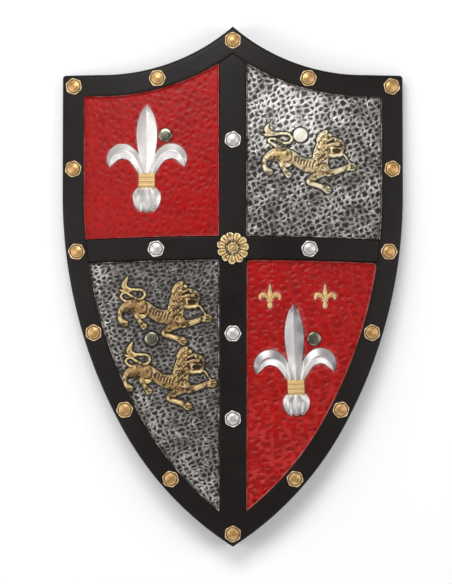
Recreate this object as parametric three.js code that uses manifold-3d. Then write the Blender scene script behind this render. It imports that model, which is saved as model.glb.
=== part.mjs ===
// A heater shield: one moulded, painted plastic shell with its relief, four rivets and two straps.
// Millimetres. The shield lies on its back rim in the plane z = 0, its face up and its point
// towards -Y. The origin is the middle of its outline's box, on the surface that it lies on.
import * as THREE from 'three';
import { LoftGeometry } from 'three/addons/geometries/LoftGeometry.js';
import { mergeVertices } from 'three/addons/utils/BufferGeometryUtils.js';
import Module from 'manifold-3d';

const wasm = await Module();
wasm.setup();

// Outline
const shieldWidth = 315.6;
const shieldHeight = 480;
const shoulderDrop = 44; // from the top point down to the shoulders
const shoulderFlat = 39.8; // straight part of each shoulder
const cornerRadius = 3;
const innerCornerRadius = 1;
const straightSide = 111; // straight part of each side, from the shoulder down
const upperSideRadius = 445;
const lowerTurnDrop = 219.2; // from the end of the straight side to the tighter curve

// Dome of the face, above the plane of the back rim
const crownHeight = 34;
const fallAcross = 18; // from the middle to the widest side
const fallAlong = 9; // from the middle to the two points
const wall = 2.4;

// Border and cross
const borderWidth = 21.5;
const borderRise = 4;
const edgeRound = 2.6;
const stepBevel = 1.6;
const crossCentreDrop = 204.4; // from the top point to the middle of the crossing
const uprightWidth = 25.2;
const crossbarWidth = 21.8;
const crossbarDroop = 3.5; // how much lower the crossbar's ends are than its middle
const crossRise = 2.8;

// Moulded bolts
const boltInset = 10.2; // from the shield's edge
const boltAcrossFlats = 14.6;
const boltFlangeRise = 1.5;
const boltDomeDiameter = 11.3;
const boltDomeRise = 3.2;
const shoulderBoltSteps = 2; // spaces from the top point to a shoulder corner
const sideBoltSteps = 6; // spaces from a shoulder corner to the bottom point
const uprightBoltAbove = 99.6; // from the crossing
const uprightBoltPitch = 78.6; // two more, below the crossing
const crossbarBoltSide = 70.7;

// Rosette on the crossing
const rosetteDiameter = 30;
const rosettePetals = 11;
const rosetteRise = 3;
const rosetteButtonDiameter = 9;

// Large and small fleurs-de-lis, whose shapes are shares of their heights
const fleurHeight = 99.7;
const lowerFleurHeight = 104;
const fleurRise = 5.2;
const smallFleurHeight = 22.3;
const smallFleurRise = 1.8;

// Lions, whose shapes are shares of their length
const lionLength = 87;
const lionRise = 4.6;

// Places in the quarters, from the middle of a quarter's width and from the crossing's middle
const fleurPlace = new THREE.Vector2(-4.8, 61.9);
const lionPlace = new THREE.Vector2(-3.7, 82.1);
const upperPairLionPlace = new THREE.Vector2(10.9, -55.5);
const lowerPairLionPlace = new THREE.Vector2(14.9, -114.8);
const lowerFleurPlace = new THREE.Vector2(-16.3, -128.3);
const lowerFleurLean = -2; // degrees
const smallFleurPlace = new THREE.Vector2(-14.9, -44.6);
const smallFleurSpacing = 51;

// Rivets and straps
const rivetCapDiameter = 13.4;
const rivetCapThickness = 2.2;
const rivetShankDiameter = 5;
const rivetBackDiameter = 11;
const rivetBackThickness = 1.8;
const handRivetAbove = 104.1; // from the crossing's middle
const handRivetSpacing = 124.4;
const armRivetBelow = 83.6;
const armRivetSpacing = 149.6;
const strapWidth = 28;
const strapThickness = 2;
const strapTail = 14; // from a rivet's middle to the strap's end
const strapBow = 19; // how far the middle of a strap hangs below its ends' line
const fitGap = 0.3;

// Faceting
const sideSteps = 1;
const upperSideSteps = 7;
const lowerSideSteps = 6;
const topSteps = 5;
const faceCellsAcross = 8;
const faceCellsAlong = 10;
const crossSteps = 10;
const strapSteps = 12;
const roundSides = 12;
const domeSides = 8;
const footDepth = wall / 2; // how deep a relief's foot is sunk in the wall

// Values that follow from the sizes
const upwards = new THREE.Vector3(0, 0, 1);
const halfWidth = shieldWidth / 2;
const halfHeight = shieldHeight / 2;
const shoulderX = halfWidth - shoulderFlat;
const shoulderY = halfHeight - shoulderDrop;
const straightEndY = shoulderY - straightSide;
const crossY = halfHeight - crossCentreDrop;
const topRadius = (shoulderX ** 2 + shoulderDrop ** 2) / (2 * shoulderDrop);
const topCentre = new THREE.Vector2(shoulderX, shoulderY + topRadius);
const upperCentre = new THREE.Vector2(halfWidth - upperSideRadius, straightEndY);
const turnAngle = -Math.asin(lowerTurnDrop / upperSideRadius);
const quarterMiddle = (uprightWidth / 2 + halfWidth - borderWidth) / 2;
const highestFace = crownHeight + borderRise + boltFlangeRise + boltDomeRise;

// The lower side curve leaves the upper one without a kink and ends in the bottom point.
const turnDirection = new THREE.Vector2(Math.cos(turnAngle), Math.sin(turnAngle));
const turnPoint = upperCentre.clone().addScaledVector(turnDirection, upperSideRadius);
const turnToTip = new THREE.Vector2(0, -halfHeight).sub(turnPoint);
const lowerRadius = -turnToTip.lengthSq() / (2 * turnToTip.dot(turnDirection));
const lowerCentre = turnPoint.clone().addScaledVector(turnDirection, -lowerRadius);

function dome(x, y) {
  return crownHeight - fallAcross * (x / halfWidth) ** 2 - fallAlong * (y / halfHeight) ** 2;
}

function arc(centre, radius, from, to, steps) {
  return Array.from({ length: steps }, (_, i) => {
    const angle = from + ((to - from) * i) / steps;
    return new THREE.Vector2(Math.cos(angle), Math.sin(angle)).multiplyScalar(radius).add(centre);
  });
}

// The right half of the outline, moved inwards: the top edge, and the side down to the point.
function topEdge(inset) {
  const radius = topRadius + inset;
  const from = -Math.acos(-topCentre.x / radius);
  return arc(topCentre, radius, from, -Math.PI / 2, topSteps);
}

function sideEdge(inset) {
  const fillet = Math.max(cornerRadius - inset, innerCornerRadius);
  const side = halfWidth - inset;
  const filletCentre = new THREE.Vector2(side - fillet, shoulderY - inset - fillet);
  const radius = lowerRadius - inset;
  const end = -Math.acos(-lowerCentre.x / radius);
  const straight = Array.from({ length: sideSteps }, (_, i) => {
    const y = THREE.MathUtils.lerp(filletCentre.y, straightEndY, i / sideSteps);
    return new THREE.Vector2(side, y);
  });
  return [
    ...arc(filletCentre, fillet, Math.PI / 2, 0, 2),
    ...straight,
    ...arc(upperCentre, upperSideRadius - inset, 0, turnAngle, upperSideSteps),
    ...arc(lowerCentre, radius, turnAngle, end, lowerSideSteps),
    new THREE.Vector2(0, lowerCentre.y + radius * Math.sin(end)),
  ];
}

function outline(inset) {
  const shoulder = new THREE.Vector2(shoulderX, shoulderY - inset);
  const right = [...topEdge(inset), shoulder, ...sideEdge(inset)];
  const left = right.slice(1, -1).reverse().map((p) => new THREE.Vector2(-p.x, p.y));
  return [...right, ...left];
}

// Solids
function outward(index, positions) {
  let volume = 0;
  const corner = (i) => new THREE.Vector3().fromArray(positions, 3 * i);
  for (let i = 0; i < index.length; i += 3) {
    const [a, b, c] = [corner(index[i]), corner(index[i + 1]), corner(index[i + 2])];
    volume += a.dot(b.cross(c));
  }
  return volume > 0 ? index : index.slice().reverse();
}

function solidOf(geometry) {
  const bare = new THREE.BufferGeometry().setAttribute('position', geometry.getAttribute('position'));
  bare.setIndex(geometry.index);
  const merged = mergeVertices(bare, 1e-4);
  const positions = merged.getAttribute('position').array;
  const corners = merged.index.array;
  const kept = [];
  for (let i = 0; i < corners.length; i += 3) {
    const [a, b, c] = corners.slice(i, i + 3);
    if (a !== b && b !== c && c !== a) kept.push(a, b, c);
  }
  const triVerts = new Uint32Array(outward(kept, positions));
  return new wasm.Manifold(new wasm.Mesh({ numProp: 3, vertProperties: positions, triVerts }));
}

function geometryOf(solid) {
  const mesh = solid.getMesh();
  const geometry = new THREE.BufferGeometry();
  geometry.setAttribute('position', new THREE.BufferAttribute(mesh.vertProperties, 3));
  geometry.setIndex(new THREE.BufferAttribute(mesh.triVerts, 1));
  geometry.computeVertexNormals();
  return geometry;
}

function joined(solids) {
  return solids.reduce((sum, solid) => sum.add(solid));
}

function reshaped(geometry, move) {
  const position = geometry.getAttribute('position');
  const point = new THREE.Vector3();
  for (let i = 0; i < position.count; i += 1) {
    move(point.fromBufferAttribute(position, i));
    position.setXYZ(i, point.x, point.y, point.z);
  }
  return geometry;
}

// Lays a flat form, whose z is its height over the face, on the dome.
function draped(geometry) {
  return reshaped(geometry, (p) => p.setZ(p.z + dome(p.x, p.y)));
}

function prism(points, low, high) {
  const geometry = new THREE.ExtrudeGeometry(new THREE.Shape(points), {
    depth: high - low,
    bevelEnabled: false,
  });
  return solidOf(geometry.translate(0, 0, low));
}

// A ridge along a line of stations [x, y, width, height]: a flat foot, two upright flanks up to a
// share of the height, and a roof up to the line. With no flank it is a plain roof.
function ridge(stations, { flank = 0.5 } = {}) {
  const path = new THREE.CatmullRomCurve3(stations.map(([x, y]) => new THREE.Vector3(x, y, 0)));
  path.curveType = 'catmullrom';
  const last = stations.length - 1;
  const sections = stations.map(([x, y, width, height], i) => {
    const across = path.getTangent(i / last).applyAxisAngle(upwards, Math.PI / 2);
    const corner = (share, z) => {
      return new THREE.Vector3(x, y, z).addScaledVector(across, (share * width) / 2);
    };
    const roof = [corner(0, height)];
    const wallsAndRoof = [corner(1, flank * height), ...roof, corner(-1, flank * height)];
    return [corner(-1, -footDepth), corner(1, -footDepth), ...(flank ? wallsAndRoof : roof)];
  });
  return new LoftGeometry(sections, { capStart: true, capEnd: true });
}

// A low dome standing on the face: its middle, its diameter and its height.
function knob(x, y, diameter, height) {
  const profile = [
    new THREE.Vector2(0, -footDepth),
    new THREE.Vector2(diameter / 2, -footDepth),
    new THREE.Vector2(diameter / 2, 0.5 * height),
    new THREE.Vector2(0.3 * diameter, 0.9 * height),
    new THREE.Vector2(0, height),
  ];
  const geometry = new THREE.LatheGeometry(profile, domeSides).rotateX(Math.PI / 2);
  return geometry.translate(x, y, 0);
}

// Shell: the border with its turned-down edge, one section at each point of the outline.
function borderProfile() {
  return [
    { inset: 0, z: () => 0 },
    { inset: 0, z: (face) => face + borderRise - edgeRound },
    { inset: 0.3 * edgeRound, z: (face) => face + borderRise - 0.3 * edgeRound },
    { inset: edgeRound, z: (face) => face + borderRise },
    { inset: borderWidth - stepBevel, z: (face) => face + borderRise },
    { inset: borderWidth, z: (face) => face },
    { inset: borderWidth + wall, z: (face) => face - wall / 2 },
    { inset: borderWidth + wall, z: (face) => face - wall },
    { inset: borderWidth - wall, z: (face) => face + borderRise - wall },
    { inset: wall + 0.5 * edgeRound, z: (face) => face + borderRise - wall },
    { inset: wall, z: (face) => face + borderRise - wall - edgeRound },
    { inset: wall, z: () => 0 },
  ];
}

function borderRing() {
  const profile = borderProfile();
  const rings = profile.map(({ inset }) => outline(inset));
  const sections = rings[0].map((_, i) =>
    profile.map(({ z }, j) => {
      const { x, y } = rings[j][i];
      return new THREE.Vector3(x, y, z(dome(x, y)));
    }),
  );
  sections.push(sections[0].map((point) => point.clone()));
  return new LoftGeometry(sections);
}

function facePlate() {
  const plate = new THREE.BoxGeometry(
    shieldWidth,
    shieldHeight,
    wall,
    faceCellsAcross,
    faceCellsAlong,
    1,
  );
  draped(plate.translate(0, 0, -wall / 2));
  return solidOf(plate).intersect(prism(outline(borderWidth), 0, highestFace));
}

// A bar of the cross between two points: raised on the face and hollow behind, like the border.
function barSections(from, to, width, rise, foot) {
  const across = to.clone().sub(from).rotateAround(new THREE.Vector2(), Math.PI / 2).normalize();
  return Array.from({ length: crossSteps + 1 }, (_, i) => {
    const share = i / crossSteps;
    const middle = from.clone().lerp(to, share);
    middle.addScaledVector(across, -crossbarDroop * (2 * share - 1) ** 2 * Math.abs(across.y));
    const corner = (side, z) => {
      const place = middle.clone().addScaledVector(across, side);
      return new THREE.Vector3(place.x, place.y, z);
    };
    const half = width / 2;
    return [
      corner(-half - stepBevel, foot),
      corner(half + stepBevel, foot),
      corner(half + stepBevel, Math.max(foot, 0)),
      corner(half, rise),
      corner(-half, rise),
      corner(-half - stepBevel, Math.max(foot, 0)),
    ];
  });
}

const barReach = borderWidth * 0.6; // how far a bar's end runs into the border
const uprightEnds = [
  new THREE.Vector2(0, outline(borderWidth - barReach * 0.5)[0].y),
  new THREE.Vector2(0, -halfHeight + borderWidth - barReach * 0.2),
];
const crossbarEnds = [
  new THREE.Vector2(-halfWidth + borderWidth - barReach, crossY),
  new THREE.Vector2(halfWidth - borderWidth + barReach, crossY),
];

function bar([from, to], width) {
  const sections = barSections(from, to, width, crossRise, -wall / 2);
  return draped(new LoftGeometry(sections, { capStart: true, capEnd: true }));
}

function barHollow([from, to], width) {
  const inner = width - 2 * wall;
  const sections = barSections(from, to, inner, crossRise - wall, -2 * wall);
  return draped(new LoftGeometry(sections, { capStart: true, capEnd: true }));
}

// Moulded bolts
function bolt({ x, y }, turn) {
  const flangeRadius = boltAcrossFlats / 2 / Math.cos(Math.PI / 6);
  const flange = new THREE.CylinderGeometry(
    flangeRadius * 0.94,
    flangeRadius,
    boltFlangeRise + footDepth,
    6,
  );
  flange.rotateX(Math.PI / 2).rotateZ(turn);
  flange.translate(x, y, (boltFlangeRise - footDepth) / 2);
  return [flange, knob(x, y, boltDomeDiameter, boltFlangeRise + boltDomeRise)];
}

function spaced(points, steps) {
  return new THREE.Path(points).getSpacedPoints(steps);
}

function borderBoltPlaces() {
  const side = sideEdge(boltInset);
  const top = spaced([...topEdge(boltInset), side[1]], shoulderBoltSteps);
  const flank = spaced(side.slice(1), sideBoltSteps);
  const right = [...top.slice(1), ...flank.slice(1, -1)];
  const left = right.map((p) => new THREE.Vector2(-p.x, p.y));
  return [top[0], flank.at(-1), ...right, ...left];
}

function crossBoltPlaces() {
  const heights = [uprightBoltAbove, -uprightBoltPitch, -2 * uprightBoltPitch];
  const droop = crossbarDroop * (crossbarBoltSide / crossbarEnds[1].x) ** 2;
  return [
    ...heights.map((height) => new THREE.Vector2(0, crossY + height)),
    ...[-1, 1].map((side) => new THREE.Vector2(side * crossbarBoltSide, crossY - droop)),
  ];
}

function lifted(geometry, rise) {
  return geometry.translate(0, 0, rise);
}

function bolts(places, rise) {
  return places.flatMap((place, i) => bolt(place, i * 0.7).map((form) => lifted(form, rise)));
}

// Ornaments, each drawn round its own middle and then put in its place on the face
function placed(forms, { x, y }, scale = 1, turn = 0) {
  return forms.map((form) => {
    const across = new THREE.Matrix4().makeScale(scale, scale, 1);
    form.applyMatrix4(across);
    return form.rotateZ(THREE.MathUtils.degToRad(turn)).translate(x, y, 0);
  });
}

function rosette() {
  const petal = [
    [rosetteDiameter * 0.14, 0, rosetteDiameter * 0.07, rosetteRise * 0.8],
    [rosetteDiameter * 0.36, 0, rosetteDiameter * 0.19, rosetteRise],
    [rosetteDiameter * 0.5, 0, rosetteDiameter * 0.1, rosetteRise * 0.6],
  ];
  const petals = Array.from({ length: rosettePetals }, (_, i) => {
    return ridge(petal, { flank: 0 }).rotateZ((i * 2 * Math.PI) / rosettePetals);
  });
  return [...petals, knob(0, 0, rosetteButtonDiameter, rosetteRise * 1.5)];
}

// The fleur-de-lis, in shares of its height, round the middle of its band
function fleur(rise) {
  const petal = [
    [0, 0.05, 0.06, 0.6 * rise],
    [0, 0.22, 0.14, 0.85 * rise],
    [0, 0.43, 0.19, rise],
    [0, 0.6, 0.12, 0.85 * rise],
    [0, 0.705, 0.006, 0.4 * rise],
  ];
  const leaf = [
    [0.03, 0.05, 0.06, 0.6 * rise],
    [0.09, 0.17, 0.09, 0.7 * rise],
    [0.15, 0.235, 0.12, 0.8 * rise],
    [0.22, 0.275, 0.14, 0.85 * rise],
    [0.3, 0.245, 0.12, 0.8 * rise],
    [0.345, 0.13, 0.006, 0.35 * rise],
  ];
  const lobe = [
    [0.02, -0.06, 0.08, 0.6 * rise],
    [0.085, -0.16, 0.1, 0.85 * rise],
    [0.095, -0.275, 0.07, 0.5 * rise],
  ];
  const middleLobe = [
    [0, -0.06, 0.12, 0.7 * rise],
    [0, -0.17, 0.13, rise],
    [0, -0.28, 0.09, 0.55 * rise],
  ];
  const mirror = (stations) => stations.map(([x, ...rest]) => [-x, ...rest]);
  const bandHalf = 0.075;
  const bandRibs = [-0.045, 0, 0.045].map((y) => {
    return [[-bandHalf, y, 0.046, 0.8 * rise], [bandHalf, y, 0.046, 0.8 * rise]];
  });
  return [
    ridge(petal, { flank: 0.35 }),
    ridge(leaf, { flank: 0.35 }),
    ridge(mirror(leaf), { flank: 0.35 }),
    ridge(lobe, { flank: 0.6 }),
    ridge(mirror(lobe), { flank: 0.6 }),
    ridge(middleLobe, { flank: 0.6 }),
    ...bandRibs.map((stations) => ridge(stations, { flank: 0.7 })),
  ];
}

function smallFleur(rise) {
  const petal = [[0, -0.5, 0.1, 0.7 * rise], [0, 0.15, 0.2, rise], [0, 0.5, 0.02, 0.5 * rise]];
  const leaf = [
    [0.02, -0.12, 0.08, 0.7 * rise],
    [0.25, 0.13, 0.16, rise],
    [0.42, -0.08, 0.04, 0.5 * rise],
  ];
  const foot = [[-0.2, -0.24, 0.12, 0.7 * rise], [0.2, -0.24, 0.12, 0.7 * rise]];
  const mirror = leaf.map(([x, ...rest]) => [-x, ...rest]);
  return [petal, leaf, mirror, foot].map((stations) => ridge(stations, { flank: 0.6 }));
}

// A lion walking to the right, in shares of its length, round its own middle
function lion(rise) {
  const body = [
    [-0.35, 0.08, 0.1, 0.8 * rise],
    [-0.25, 0.05, 0.155, 0.95 * rise],
    [-0.15, -0.01, 0.135, 0.85 * rise],
    [-0.03, -0.06, 0.135, 0.8 * rise],
    [0.1, -0.07, 0.17, 0.95 * rise],
    [0.19, -0.1, 0.1, 0.7 * rise],
  ];
  const mane = [
    [0.11, -0.08, 0.16, 0.9 * rise],
    [0.14, 0.06, 0.18, rise],
    [0.18, 0.17, 0.15, rise],
    [0.23, 0.26, 0.05, 0.7 * rise],
  ];
  const head = [
    [0.17, 0.16, 0.12, 0.9 * rise],
    [0.28, 0.18, 0.12, rise],
    [0.36, 0.13, 0.05, 0.8 * rise],
  ];
  const jaw = [
    [0.21, 0.03, 0.06, 0.7 * rise],
    [0.32, 0.03, 0.035, 0.6 * rise],
    [0.36, 0.06, 0.02, 0.5 * rise],
  ];
  const tongue = [[0.35, 0.06, 0.015, 0.4 * rise], [0.45, -0.06, 0.02, 0.4 * rise]];
  const foreleg = [
    [0.17, -0.12, 0.11, 0.8 * rise],
    [0.28, -0.15, 0.065, 0.65 * rise],
    [0.4, -0.1, 0.06, 0.65 * rise],
    [0.48, -0.08, 0.09, 0.7 * rise],
  ];
  const nearForeleg = [
    [0.15, -0.13, 0.11, rise],
    [0.06, -0.2, 0.08, 0.85 * rise],
    [-0.02, -0.25, 0.06, 0.75 * rise],
    [0.09, -0.275, 0.045, 0.7 * rise],
    [0.22, -0.31, 0.1, 0.7 * rise],
  ];
  const hindLeg = [
    [-0.33, 0.05, 0.14, rise],
    [-0.43, 0.0, 0.075, 0.8 * rise],
    [-0.48, -0.06, 0.055, 0.7 * rise],
    [-0.44, -0.13, 0.06, 0.65 * rise],
    [-0.39, -0.15, 0.08, 0.7 * rise],
  ];
  const farHindLeg = [
    [-0.23, -0.03, 0.1, 0.7 * rise],
    [-0.285, -0.1, 0.05, 0.6 * rise],
    [-0.2, -0.19, 0.08, 0.65 * rise],
  ];
  const tail = [
    [-0.32, 0.12, 0.035, 0.6 * rise],
    [-0.43, 0.17, 0.03, 0.5 * rise],
    [-0.4, 0.215, 0.03, 0.5 * rise],
    [-0.25, 0.16, 0.03, 0.5 * rise],
    [-0.19, 0.2, 0.03, 0.5 * rise],
    [-0.21, 0.27, 0.03, 0.5 * rise],
    [-0.38, 0.29, 0.035, 0.5 * rise],
    [-0.46, 0.31, 0.05, 0.6 * rise],
    [-0.43, 0.37, 0.015, 0.4 * rise],
  ];
  const limbs = [body, mane, head, jaw, foreleg, nearForeleg, hindLeg, farHindLeg];
  const ribs = [0, 1, 2].map((i) => {
    const x = -0.13 + 0.06 * i;
    const y = -0.01 - 0.018 * i;
    return [[x + 0.008, y + 0.05, 0.016, rise], [x - 0.012, y - 0.045, 0.016, 0.95 * rise]];
  });
  const lines = [tail, tongue, ...ribs];
  return [
    ...limbs.map((stations) => ridge(stations)),
    ...lines.map((stations) => ridge(stations, { flank: 0 })),
  ];
}

function ornaments() {
  const small = [-0.5, 0.5].map((share) => {
    return new THREE.Vector2(
      quarterMiddle + smallFleurPlace.x + share * smallFleurSpacing,
      crossY + smallFleurPlace.y,
    );
  });
  const right = ({ x, y }) => new THREE.Vector2(quarterMiddle + x, crossY + y);
  const left = ({ x, y }) => new THREE.Vector2(-quarterMiddle + x, crossY + y);
  return [
    ...placed(fleur(fleurRise), left(fleurPlace), fleurHeight),
    ...placed(fleur(fleurRise), right(lowerFleurPlace), lowerFleurHeight, lowerFleurLean),
    ...small.flatMap((place) => placed(smallFleur(smallFleurRise), place, smallFleurHeight)),
    ...placed(lion(lionRise), right(lionPlace), lionLength),
    ...placed(lion(lionRise), left(upperPairLionPlace), lionLength),
    ...placed(lion(lionRise), left(lowerPairLionPlace), lionLength),
  ];
}

// Rivets: each stands square to the dome at its own place
const rivetPlaces = {
  rivet_upper_left: new THREE.Vector2(-handRivetSpacing / 2, crossY + handRivetAbove),
  rivet_upper_right: new THREE.Vector2(handRivetSpacing / 2, crossY + handRivetAbove),
  rivet_lower_left: new THREE.Vector2(-armRivetSpacing / 2, crossY - armRivetBelow),
  rivet_lower_right: new THREE.Vector2(armRivetSpacing / 2, crossY - armRivetBelow),
};

function squareToFace({ x, y }) {
  const slopeX = (-2 * fallAcross * x) / halfWidth ** 2;
  const slopeY = (-2 * fallAlong * y) / halfHeight ** 2;
  const normal = new THREE.Vector3(-slopeX, -slopeY, 1).normalize();
  return new THREE.Quaternion().setFromUnitVectors(upwards, normal);
}

function turned(points) {
  return new THREE.LatheGeometry(points.map(([r, z]) => new THREE.Vector2(r, z)), roundSides)
    .rotateX(Math.PI / 2);
}

function rivetGeometry() {
  const cap = rivetCapDiameter / 2;
  const shank = rivetShankDiameter / 2;
  const back = rivetBackDiameter / 2;
  const backTop = -wall - 2 * fitGap - strapThickness - fitGap;
  const backLow = backTop - rivetBackThickness;
  return turned([
    [0, backLow],
    [0.9 * back, backLow],
    [back, backTop],
    [shank, backTop],
    [shank, fitGap],
    [cap, fitGap],
    [cap, fitGap + 0.5 * rivetCapThickness],
    [0.8 * cap, fitGap + rivetCapThickness],
    [0, fitGap + rivetCapThickness],
  ]);
}

function onFace(geometry, place) {
  geometry.applyQuaternion(squareToFace(place));
  return geometry.translate(place.x, place.y, dome(place.x, place.y));
}

function shankHole(place) {
  const radius = rivetShankDiameter / 2 + fitGap;
  const depth = 4 * (wall + strapThickness);
  const hole = new THREE.CylinderGeometry(radius, radius, depth, roundSides).rotateX(Math.PI / 2);
  return solidOf(onFace(hole, place));
}

function capSeat(place) {
  const radius = rivetCapDiameter / 2 + fitGap;
  const depth = 2 * lionRise;
  const seat = new THREE.CylinderGeometry(radius, radius, depth, roundSides).rotateX(Math.PI / 2);
  return solidOf(onFace(seat.translate(0, 0, depth / 2), place));
}

function shieldShell() {
  const relief = [
    ...bolts(borderBoltPlaces(), borderRise),
    ...bolts(crossBoltPlaces(), crossRise),
    ...placed(rosette(), { x: 0, y: crossY }).map((form) => lifted(form, crossRise)),
    ...ornaments(),
  ];
  const bars = [solidOf(bar(uprightEnds, uprightWidth)), solidOf(bar(crossbarEnds, crossbarWidth))];
  const body = joined([solidOf(borderRing()), facePlate(), ...bars]);
  const carved = body.add(joined(relief.map((form) => solidOf(draped(form)))));
  const hollows = [barHollow(uprightEnds, uprightWidth), barHollow(crossbarEnds, crossbarWidth)];
  const places = Object.values(rivetPlaces);
  const cuts = [...hollows.map(solidOf), ...places.map(shankHole), ...places.map(capSeat)];
  return cuts.reduce((solid, cut) => solid.subtract(cut), carved);
}

// Straps: flat webbing that hugs the shell's inside at its rivets and bows away between them
function strapGeometry(spacing, y, places) {
  const length = spacing + 2 * strapTail;
  const strap = new THREE.BoxGeometry(length, strapWidth, strapThickness, strapSteps, 1, 1);
  const held = strapTail + rivetBackDiameter;
  reshaped(strap.translate(0, y, -wall - 2 * fitGap - strapThickness / 2), (p) => {
    const free = THREE.MathUtils.clamp((length / 2 - Math.abs(p.x) - held) / (length / 2 - held), 0, 1);
    const bow = strapBow * (0.5 - 0.5 * Math.cos(Math.PI * free));
    p.setZ(p.z + dome(p.x, p.y) - bow);
  });
  return geometryOf(places.map(shankHole).reduce((solid, hole) => solid.subtract(hole), solidOf(strap)));
}

// Scene graph
const paintedShell = new THREE.MeshStandardMaterial({ color: 0x262120, roughness: 0.45, metalness: 0 });
const polishedRivet = new THREE.MeshStandardMaterial({ color: 0xb9b4ac, roughness: 0.18, metalness: 1 });
const blackWebbing = new THREE.MeshStandardMaterial({ color: 0x1c1b1b, roughness: 0.9, metalness: 0 });

function named(name, geometry, material) {
  const mesh = new THREE.Mesh(geometry, material);
  mesh.name = name;
  return mesh;
}

function rivet(name, place) {
  const mesh = named(name, geometryOf(solidOf(rivetGeometry())), polishedRivet);
  mesh.position.set(place.x, place.y, dome(place.x, place.y));
  mesh.quaternion.copy(squareToFace(place));
  return mesh;
}

function strap(name, spacing, y) {
  const places = [-0.5, 0.5].map((share) => new THREE.Vector2(share * spacing, y));
  return named(name, strapGeometry(spacing, y, places), blackWebbing);
}

const shield = new THREE.Group();
shield.add(named('shield_shell', geometryOf(shieldShell()), paintedShell));
Object.entries(rivetPlaces).forEach(([name, place]) => shield.add(rivet(name, place)));
shield.add(strap('hand_strap', handRivetSpacing, crossY + handRivetAbove));
shield.add(strap('arm_strap', armRivetSpacing, crossY - armRivetBelow));

export default shield;
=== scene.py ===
# %% [markdown]
# # A painted heater shield
# The shield is one moulding in stiff plastic, with its border, cross, bolts, flowers and lions all
# raised in one with it, and then painted by hand. It lies on its back rim with its face up, and the
# camera looks straight down on it. Every surface but the rivets' is a height over a shallow dome, so
# one helper turns a height map into a mesh, and each ornament is a short recipe of heights.

# %% Load the frame
import math

import bmesh
import bpy
import numpy as np
from mathutils import Matrix, Vector


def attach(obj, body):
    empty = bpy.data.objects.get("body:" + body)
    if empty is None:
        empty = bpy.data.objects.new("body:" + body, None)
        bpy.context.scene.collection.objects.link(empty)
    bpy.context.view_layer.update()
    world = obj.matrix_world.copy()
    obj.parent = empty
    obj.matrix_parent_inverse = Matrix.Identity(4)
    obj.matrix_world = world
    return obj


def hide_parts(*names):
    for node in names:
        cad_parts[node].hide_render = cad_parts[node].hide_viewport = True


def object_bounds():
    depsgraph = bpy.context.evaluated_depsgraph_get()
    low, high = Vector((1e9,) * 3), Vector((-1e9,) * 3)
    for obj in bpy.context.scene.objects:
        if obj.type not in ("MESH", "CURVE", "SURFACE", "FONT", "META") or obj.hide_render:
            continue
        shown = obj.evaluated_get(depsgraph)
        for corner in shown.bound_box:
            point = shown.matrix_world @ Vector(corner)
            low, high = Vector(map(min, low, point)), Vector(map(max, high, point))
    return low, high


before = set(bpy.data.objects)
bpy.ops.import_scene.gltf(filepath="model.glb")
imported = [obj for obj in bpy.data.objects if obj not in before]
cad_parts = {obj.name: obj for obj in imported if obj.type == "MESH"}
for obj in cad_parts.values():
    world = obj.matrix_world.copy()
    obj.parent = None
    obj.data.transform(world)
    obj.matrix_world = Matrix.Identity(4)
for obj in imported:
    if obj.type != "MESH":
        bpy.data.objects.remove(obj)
cad_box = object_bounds()
print("solids span", [round(high - low, 4) for low, high in zip(*cad_box)])

# %% [markdown]
# The sizes are those of the real shield in millimetres, and the outline's box comes from the frame.
# A mould maker would start the same way: the outline's arcs first, then the step heights.

# %% Sizes
MM = 0.001
HALF_WIDTH = (cad_box[1].x - cad_box[0].x) / 2 / MM
HALF_HEIGHT = (cad_box[1].y - cad_box[0].y) / 2 / MM
SHOULDER_DROP = 44
SHOULDER_FLAT = 39.8
CORNER_RADIUS = 3
INNER_CORNER_RADIUS = 1
STRAIGHT_SIDE = 111
UPPER_SIDE_RADIUS = 445
LOWER_TURN_DROP = 219.2
CROWN_HEIGHT = 34
FALL_ACROSS = 18
FALL_ALONG = 9
WALL = 2.4
BORDER_WIDTH = 21.5
BORDER_RISE = 4
EDGE_ROUND = 2.6
STEP_BEVEL = 1.6
LIP_INSET = BORDER_WIDTH - STEP_BEVEL  # from the edge to the border's inner lip
CROSS_CENTRE_DROP = 204.4
UPRIGHT_HALF = 12.6
CROSSBAR_HALF = 10.9
CROSSBAR_DROOP = 3.5
CROSSBAR_DROOP_AT = 146
CROSS_RISE = 2.8
BOLT_INSET = 10.2
SHOULDER_BOLT_STEPS = 2
SIDE_BOLT_STEPS = 6
UPRIGHT_BOLT_ABOVE = 99.6
UPRIGHT_BOLT_PITCH = 78.6
CROSSBAR_BOLT_X = 70.7
HAND_RIVET_X = 62.2
HAND_RIVET_ABOVE = 104.1
ARM_RIVET_X = 74.8
ARM_RIVET_BELOW = 83.6
QUARTER_MIDDLE = 74.45
SUNK = 1.5  # how far a relief's edge dips below the ground that it rises from

# %% The outline's arcs
SHOULDER_X = HALF_WIDTH - SHOULDER_FLAT
SHOULDER_Y = HALF_HEIGHT - SHOULDER_DROP
STRAIGHT_END_Y = SHOULDER_Y - STRAIGHT_SIDE
CROSS_Y = HALF_HEIGHT - CROSS_CENTRE_DROP
TOP_RADIUS = (SHOULDER_X**2 + SHOULDER_DROP**2) / (2 * SHOULDER_DROP)
TOP_CENTRE = (SHOULDER_X, SHOULDER_Y + TOP_RADIUS)
UPPER_CENTRE = (HALF_WIDTH - UPPER_SIDE_RADIUS, STRAIGHT_END_Y)
TURN = -math.asin(LOWER_TURN_DROP / UPPER_SIDE_RADIUS)
turn_x = UPPER_CENTRE[0] + UPPER_SIDE_RADIUS * math.cos(TURN)
turn_y = UPPER_CENTRE[1] + UPPER_SIDE_RADIUS * math.sin(TURN)
tip_dx, tip_dy = -turn_x, -HALF_HEIGHT - turn_y
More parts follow.
